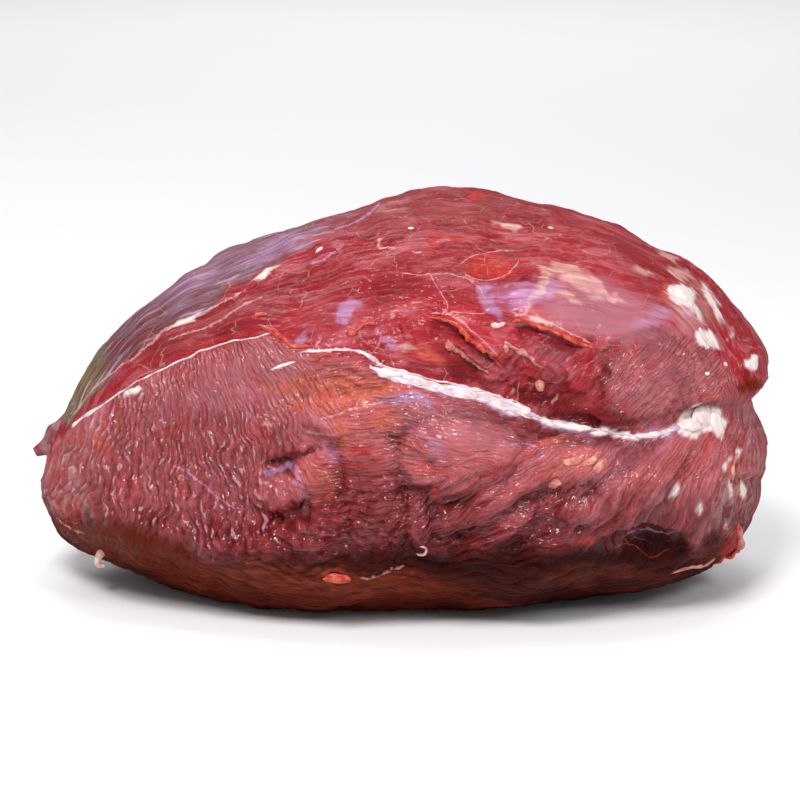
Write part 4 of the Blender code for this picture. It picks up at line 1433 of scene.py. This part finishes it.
def wet_share(normals, masks, cut):
    """How much of the water film shows: most on cut faces, least where the front turns away."""
    facing = smoothstep(0.1, 0.7, np.abs(facing_sight(normals)))
    return (0.25 + 0.6 * cut) * (0.25 + 0.75 * facing) * (1 - 0.95 * foot_share(masks))


def store_layers(mesh, points, seen, front, cut, height, masks, threads):
    """Stores the tissues, threads and heights at the vertices, for the material to read."""
    stored = dict(masks)
    stored["lower"] = cut
    # The height also paints shade into hollows and light onto tops in the colour.
    stored["height"] = np.clip(height * 0.6, -1, 1)
    stored["olive"] = smoothstep(-96, -112, points[:, 0]) * masks["silver"] * (0.3 + 0.7 * front)
    stored["calm"] = np.maximum(masks["white"], masks["pink"])
    on_left = smoothstep(-20, -50, seen[:, 0]) * front
    stored["ridged"] = cut * (0.5 + 0.5 * on_left) * (1 - stored["calm"])
    stored["ridged"] *= 1 - 0.9 * foot_share(masks)
    stored.update(zip(LAYERS["thread"], threads.T))
    for name, parts in LAYERS.items():
        if name != "ridge":
            set_layer(mesh, name, np.column_stack([stored[part] for part in parts]))


def make_body():
    """The two muscles as one closed mesh, with the layers that its material reads."""
    corners, quads = box_grid([round(sizes().mesh_pieces * share) for share in MESH_SHARES])
    direction = np.tan(corners * math.pi / 4)
    direction /= np.linalg.norm(direction, axis=1)[:, None]
    direction[:, 1] -= sizes().crowding
    direction /= np.linalg.norm(direction, axis=1)[:, None]
    points = plain_body(direction)
    mesh = bpy.data.meshes.new(BODY_NAME)
    mesh.from_pydata(points.tolist(), [], quads.tolist())
    mesh.update()
    normals = vertex_normals(mesh)
    points += normals * broad_form(points, normals)[:, None]
    move_vertices(mesh, points)
    normals = vertex_normals(mesh)
    seen = sight(points)
    front = smoothstep(-0.12, 0.12, facing_sight(normals))
    lower = lower_share(points, seen, front)
    places = fibre_places(points, seen)
    shares = region_shares(points, normals, seen, front, lower)
    counts = []
    for number, (length, width, _) in enumerate(grain_kinds()):
        counts.append(ridge_count(places[number], length, width, number))
    bundles = bundle_relief(places, counts, shares, lower)
    masks = tissue_masks(points, normals, seen, front, lower)
    threads = thread_layer(seen, points, front)
    height = fine_form(points, normals, bundles, seen, front, lower)
    # Painted shade: the lower muscle's creases and hollows are darkened in the colour.
    valley_shade = smoothstep(0.0, -2.2, height) * lower * front
    masks["deep"] = np.maximum(masks["deep"], 0.75 * valley_shade)
    calm = 1 - CALM_SHARE * np.maximum(np.maximum(masks["white"], masks["silver"]), masks["pink"])
    points += normals * (height * calm + WHITE_RISE_MM * masks["white"])[:, None]
    points = cut_flat(points, (0, 0, 0), (0, 0, -1), RESTING_SOFTNESS_MM)
    points[:, 2] = np.maximum(points[:, 2], 0)
    move_vertices(mesh, (points + TO_MIDDLE_MM) * MM)
    mesh.shade_smooth()
    cut = cut_share(seen, front, lower)
    store_layers(mesh, points, seen, front, cut, height, masks, threads)
    corners = quads.ravel()
    region = np.repeat(shares[:, quads].mean(axis=2).argmax(axis=0), 4)
    set_layer(mesh, "grain", np.array(places)[region, corners])
    count = np.array(counts)[region, corners]
    wetness = wet_share(normals, masks, cut)[corners]
    set_layer(mesh, "ridge", np.column_stack([count, wetness, count * 0]))
    body = bpy.data.objects.new(BODY_NAME, mesh)
    bpy.context.scene.collection.objects.link(body)
    return body


def eye_mm():
    """Where the picture plane is seen from."""
    tilt = math.radians(SIGHT_ELEVATION_DEG)
    back = SIGHT_DISTANCE_MM * math.cos(tilt)
    up = SIGHT_DISTANCE_MM * math.sin(tilt)
    return Vector((0, -back, MIDDLE_HEIGHT_MM + up)) + Vector(TO_MIDDLE_MM)


def in_space(across, up):
    """A point of the picture plane as a point in space."""
    tilt = math.radians(SIGHT_ELEVATION_DEG)
    rise = up - SIGHT_MIDDLE_MM
    plane = Vector((across, rise * math.sin(tilt), MIDDLE_HEIGHT_MM + rise * math.cos(tilt)))
    return plane + Vector(TO_MIDDLE_MM)


def surface():
    """The body's surface, for finding places on it."""
    return BVHTree.FromObject(bpy.data.objects[BODY_NAME], bpy.context.evaluated_depsgraph_get())


def on_surface(tree, across, up):
    """The place on the body that shows at a point of the picture plane, and its normal."""
    eye = eye_mm() * MM
    target = in_space(across, up) * MM
    place, normal, _, _ = tree.ray_cast(eye, (target - eye).normalized())
    if place is None:
        place, normal, _, _ = tree.find_nearest(target)
    return place, normal


def smoothed(values, rounds):
    """Values along a line, averaged with their neighbours."""
    for _ in range(rounds):
        values = np.vstack([values[:1], (values[:-2] + 2 * values[1:-1] + values[2:]) / 4, values[-1:]])
    return values


def join_rings(grid, rings):
    """Joins rings of vertices into a tube that is closed at both ends."""
    for ring, following in zip(rings, rings[1:]):
        for step, corner in enumerate(ring):
            after = (step + 1) % len(ring)
            grid.faces.new((corner, ring[after], following[after], following[step]))
    grid.faces.new(rings[0])
    grid.faces.new(rings[-1])


def ribbon(grid, tree, line, widths, heights, wander, sides=12, seed=0.0, sink=0.45):
    """A raised strand along a line on the body, closed all round and sunk a little into the meat."""
    path = smooth_path(line, steps=60)
    length = np.concatenate([[0], np.cumsum(np.linalg.norm(np.diff(path, axis=0), axis=1))])
    count = max(8, int(length[-1] * MM / sizes().ribbon_step))
    at = np.linspace(0, length[-1], count)
    path = np.column_stack([np.interp(at, length, path[:, 0]), np.interp(at, length, path[:, 1])])
    along = np.column_stack([at, at * 0, at * 0])
    drift = clouds(along, 4.0, seed + 1) * wander
    way = np.gradient(path, axis=0)
    way /= np.linalg.norm(way, axis=1)[:, None]
    path = path + np.column_stack([-way[:, 1], way[:, 0]]) * drift[:, None]
    hits = [on_surface(tree, *point) for point in path]
    places = smoothed(np.array([hit[0] for hit in hits]), 3)
    normals = smoothed(np.array([hit[1] for hit in hits]), 8)
    share = at / at[-1]
    rough = 1 + 0.5 * clouds(along, 2.6, seed + 2)
    ragged_up = 1 + 0.7 * clouds(along, 1.7, seed + 6)
    width = np.interp(share, np.linspace(0, 1, len(widths)), widths) * rough * MM
    height = np.interp(share, np.linspace(0, 1, len(heights)), heights) * rough * ragged_up * MM
    ends = np.sqrt(np.clip(np.minimum(at, at[-1] - at) / 1.2, 0.02, 1))
    rings = []
    for place, normal, tangent, wide, high, end in zip(
            places, normals, np.gradient(places, axis=0), width * ends, height * ends, ends):
        out = Vector(normal).normalized()
        side = Vector(tangent).cross(out).normalized()
        ring = []
        for step in range(sides):
            turn = 2 * math.pi * step / sides
            lift = math.cos(turn)
            rise = high * lift if lift > 0 else sink * MM * end * lift
            ring.append(grid.verts.new(Vector(place) + side * (math.sin(turn) * wide / 2) + out * rise))
        rings.append(ring)
    join_rings(grid, rings)


def ribbons(name, lines, material, first_seed, sides=12):
    """Several ribbons as one piece."""
    tree = surface()
    grid = bmesh.new()
    for number, line in enumerate(lines):
        ribbon(grid, tree, *line, sides=sides, seed=first_seed + 3.0 * number)
    finish_piece(object_from(grid, name), material)


def lumps(name, places, material, seed):
    """Uneven rounded lumps on the body, as one piece."""
    tree = surface()
    grid = bmesh.new()
    for middle, reach, turn in places:
        place, normal = on_surface(tree, *middle)
        turn = math.radians(turn)
        side = (in_space(middle[0] + 1, middle[1]) - in_space(*middle)).normalized()
        up = normal.cross(side).normalized()
        side = up.cross(normal).normalized()
        along = side * math.cos(turn) + up * math.sin(turn)
        over = up * math.cos(turn) - side * math.sin(turn)
        ball = bmesh.ops.create_icosphere(grid, subdivisions=4, radius=1.0)
        for vertex in ball["verts"]:
            co = vertex.co.copy()
            rough = 1 + 0.22 * noise.noise(co * 1.6 + Vector((seed, middle[0], middle[1])))
            rough += 0.07 * noise.noise(co * 5.0 + Vector((middle[0], seed, middle[1])))
            shape = along * co.x * reach[0] + over * co.y * reach[1] + normal * co.z * reach[2]
            vertex.co = place + shape * rough * MM
    finish_piece(object_from(grid, name), material)


def scrap(name, points, widths, thickness, material):
    """A thin scrap that hangs from the meat, closed all round, with an uneven edge."""
    grid = bmesh.new()
    path = smooth_path(points, steps=14)
    share = np.linspace(0, 1, len(path))
    width = np.interp(share, np.linspace(0, 1, len(widths)), widths)
    rings = []
    for place, way, size, along in zip(path, np.gradient(path, axis=0), width, share):
        way = Vector(way).normalized()
        side = way.cross(Vector((0, 1, 0))).normalized()
        over = way.cross(side)
        ring = []
        for step in range(SCRAP_SIDES):
            turn = 2 * math.pi * step / SCRAP_SIDES
            rough = 1 + 0.3 * noise.noise(Vector((along * 4, math.cos(turn) * 1.5, points[0][0])))
            corner = Vector(place) + Vector(TO_MIDDLE_MM)
            corner += side * (math.cos(turn) * size / 2 * rough)
            corner += over * (math.sin(turn) * thickness / 2 * (1 - 0.5 * along))
            ring.append(grid.verts.new(corner * MM))
        rings.append(ring)
    join_rings(grid, rings)
    finish_piece(object_from(grid, name), material)


# The operators, one for each piece or group of pieces

class BEEF_OT_muscles(bpy.types.Operator):
    """Makes the two muscles, with their grain, creases and flaps"""

    bl_idname = "beef.muscles"
    bl_label = "Muscles"

    def execute(self, context):
        body = make_body()
        finish_piece(body, raw_muscle())
        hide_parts(NODE)
        return {"FINISHED"}


class BEEF_OT_seam_fat(bpy.types.Operator):
    """Lays the torn fat along the seam between the muscles and at the right end"""

    bl_idname = "beef.seam_fat"
    bl_label = "Seam fat"

    def execute(self, context):
        fat = seam_fat()
        ribbons("seam_fat", FAT_RIBBONS, fat, 1.0, sides=16)
        ribbons("edge_fat", EDGE_RIBBONS, fat, 20.0)
        lumps("fat_lumps", FAT_LUMPS, soft_fat(), 4.0)
        return {"FINISHED"}


class BEEF_OT_flap_edges(bpy.types.Operator):
    """Makes the red wet edges of the torn flaps, and the salmon tissue beside them"""

    bl_idname = "beef.flap_edges"
    bl_label = "Flap edges"

    def execute(self, context):
        ribbons("flap_edges", FLAP_RIBBONS, fresh_tear(), 40.0)
        salmon = salmon_tissue()
        ribbons("torn_tissue", SALMON_RIBBONS, salmon, 60.0)
        lumps("tissue_lumps", SALMON_LUMPS, salmon, 9.0)
        lumps("torn_lump", RED_LUMPS, fresh_tear(), 5.0)
        return {"FINISHED"}


class BEEF_OT_sinews(bpy.types.Operator):
    """Makes the stretched sinews and the small curl at the foot"""

    bl_idname = "beef.sinews"
    bl_label = "Sinews"

    def execute(self, context):
        ribbons("sinews", SINEWS, sinew(), 80.0)
        return {"FINISHED"}


class BEEF_OT_scraps(bpy.types.Operator):
    """Makes the loose scraps at the left tip, the lower right and the lower left"""

    bl_idname = "beef.scraps"
    bl_label = "Scraps"

    def execute(self, context):
        scrap("left_tip", *SCRAPS[0], dried_scrap())
        scrap("right_scrap", *SCRAPS[1], fresh_tear())
        scrap("hanging_scrap", *SCRAPS[2], sinew())
        return {"FINISHED"}


class BEEF_OT_stage(bpy.types.Operator):
    """Makes the pale floor, the soft lights and the camera"""

    bl_idname = "beef.stage"
    bl_label = "Stage"

    def execute(self, context):
        grid = bmesh.new()
        bmesh.ops.create_grid(grid, x_segments=1, y_segments=1, size=sizes().floor_size / 2)
        floor = object_from(grid, "studio_floor")
        paper, tree, shader = new_material("studio_paper_matt", 0.9, 0.0, 0.5, 0.0, 1.0)
        place = add(tree, "TexCoord", out="Object")
        grain = add(tree, "TexNoise", {"Scale": 3.0, "Detail": 2.0}, {"Vector": place})
        tint = add(tree, "MapRange", {3: 0.86, 4: 0.88}, {0: grain})
        tree.links.new(tint, shader.inputs["Base Color"])
        floor.data.materials.append(paper)
        world = bpy.data.worlds.new("studio")
        world.use_nodes = True
        sky = world.node_tree.nodes["Background"]
        sky.inputs["Color"].default_value = (0.98, 0.985, 1.0, 1.0)
        sky.inputs["Strength"].default_value = SKY_STRENGTH
        context.scene.world = world
        for name, place, target, size, power, colour in LIGHTS:
            light = bpy.data.lights.new(name, "AREA")
            light.shape = "SQUARE"
            light.size = size
            light.energy = power
            light.color = colour
            lamp = bpy.data.objects.new(name, light)
            lamp.location = place
            lamp.rotation_euler = (Vector(target) - Vector(place)).to_track_quat("-Z", "Y").to_euler()
            context.scene.collection.objects.link(lamp)
        camera = bpy.data.cameras.new("camera")
        camera.sensor_width = CAMERA_SENSOR_MM
        camera.lens = CAMERA_SENSOR_MM * SIGHT_DISTANCE_MM / SIGHT_WIDTH_MM
        camera.clip_end = 50.0
        viewer = bpy.data.objects.new("camera", camera)
        viewer.location = eye_mm() * MM
        aim = Vector((0, 0, MIDDLE_HEIGHT_MM)) + Vector(TO_MIDDLE_MM)
        viewer.rotation_euler = (aim * MM - viewer.location).to_track_quat("-Z", "Y").to_euler()
        context.scene.collection.objects.link(viewer)
        context.scene.camera = viewer
        context.scene.view_settings.view_transform = "Standard"
        return {"FINISHED"}


class BEEF_PT_panel(bpy.types.Panel):
    """Lists the steps that make the joint"""

    bl_label = "Raw beef joint"
    bl_idname = "BEEF_PT_panel"
    bl_space_type = "VIEW_3D"
    bl_region_type = "UI"
    bl_category = "Beef"

    def draw(self, context):
        for step in STEPS:
            self.layout.operator(step.bl_idname)
        for group in (context.scene.beef_sizes, context.scene.beef_colours):
            for name in group.__annotations__:
                self.layout.prop(group, name)


STEPS = (
    BEEF_OT_muscles, BEEF_OT_seam_fat, BEEF_OT_flap_edges, BEEF_OT_sinews, BEEF_OT_scraps, BEEF_OT_stage,
)
CLASSES = (BeefSizes, BeefColours) + STEPS + (BEEF_PT_panel,)


def register():
    for item in CLASSES:
        bpy.utils.register_class(item)
    bpy.types.Scene.beef_sizes = PointerProperty(type=BeefSizes)
    bpy.types.Scene.beef_colours = PointerProperty(type=BeefColours)


def unregister():
    del bpy.types.Scene.beef_colours
    del bpy.types.Scene.beef_sizes
    for item in reversed(CLASSES):
        bpy.utils.unregister_class(item)


def main():
    register()
    bpy.ops.beef.muscles()
    bpy.ops.beef.seam_fat()
    bpy.ops.beef.flap_edges()
    bpy.ops.beef.sinews()
    bpy.ops.beef.scraps()
    bpy.ops.beef.stage()


if __name__ == "__main__":
    main()
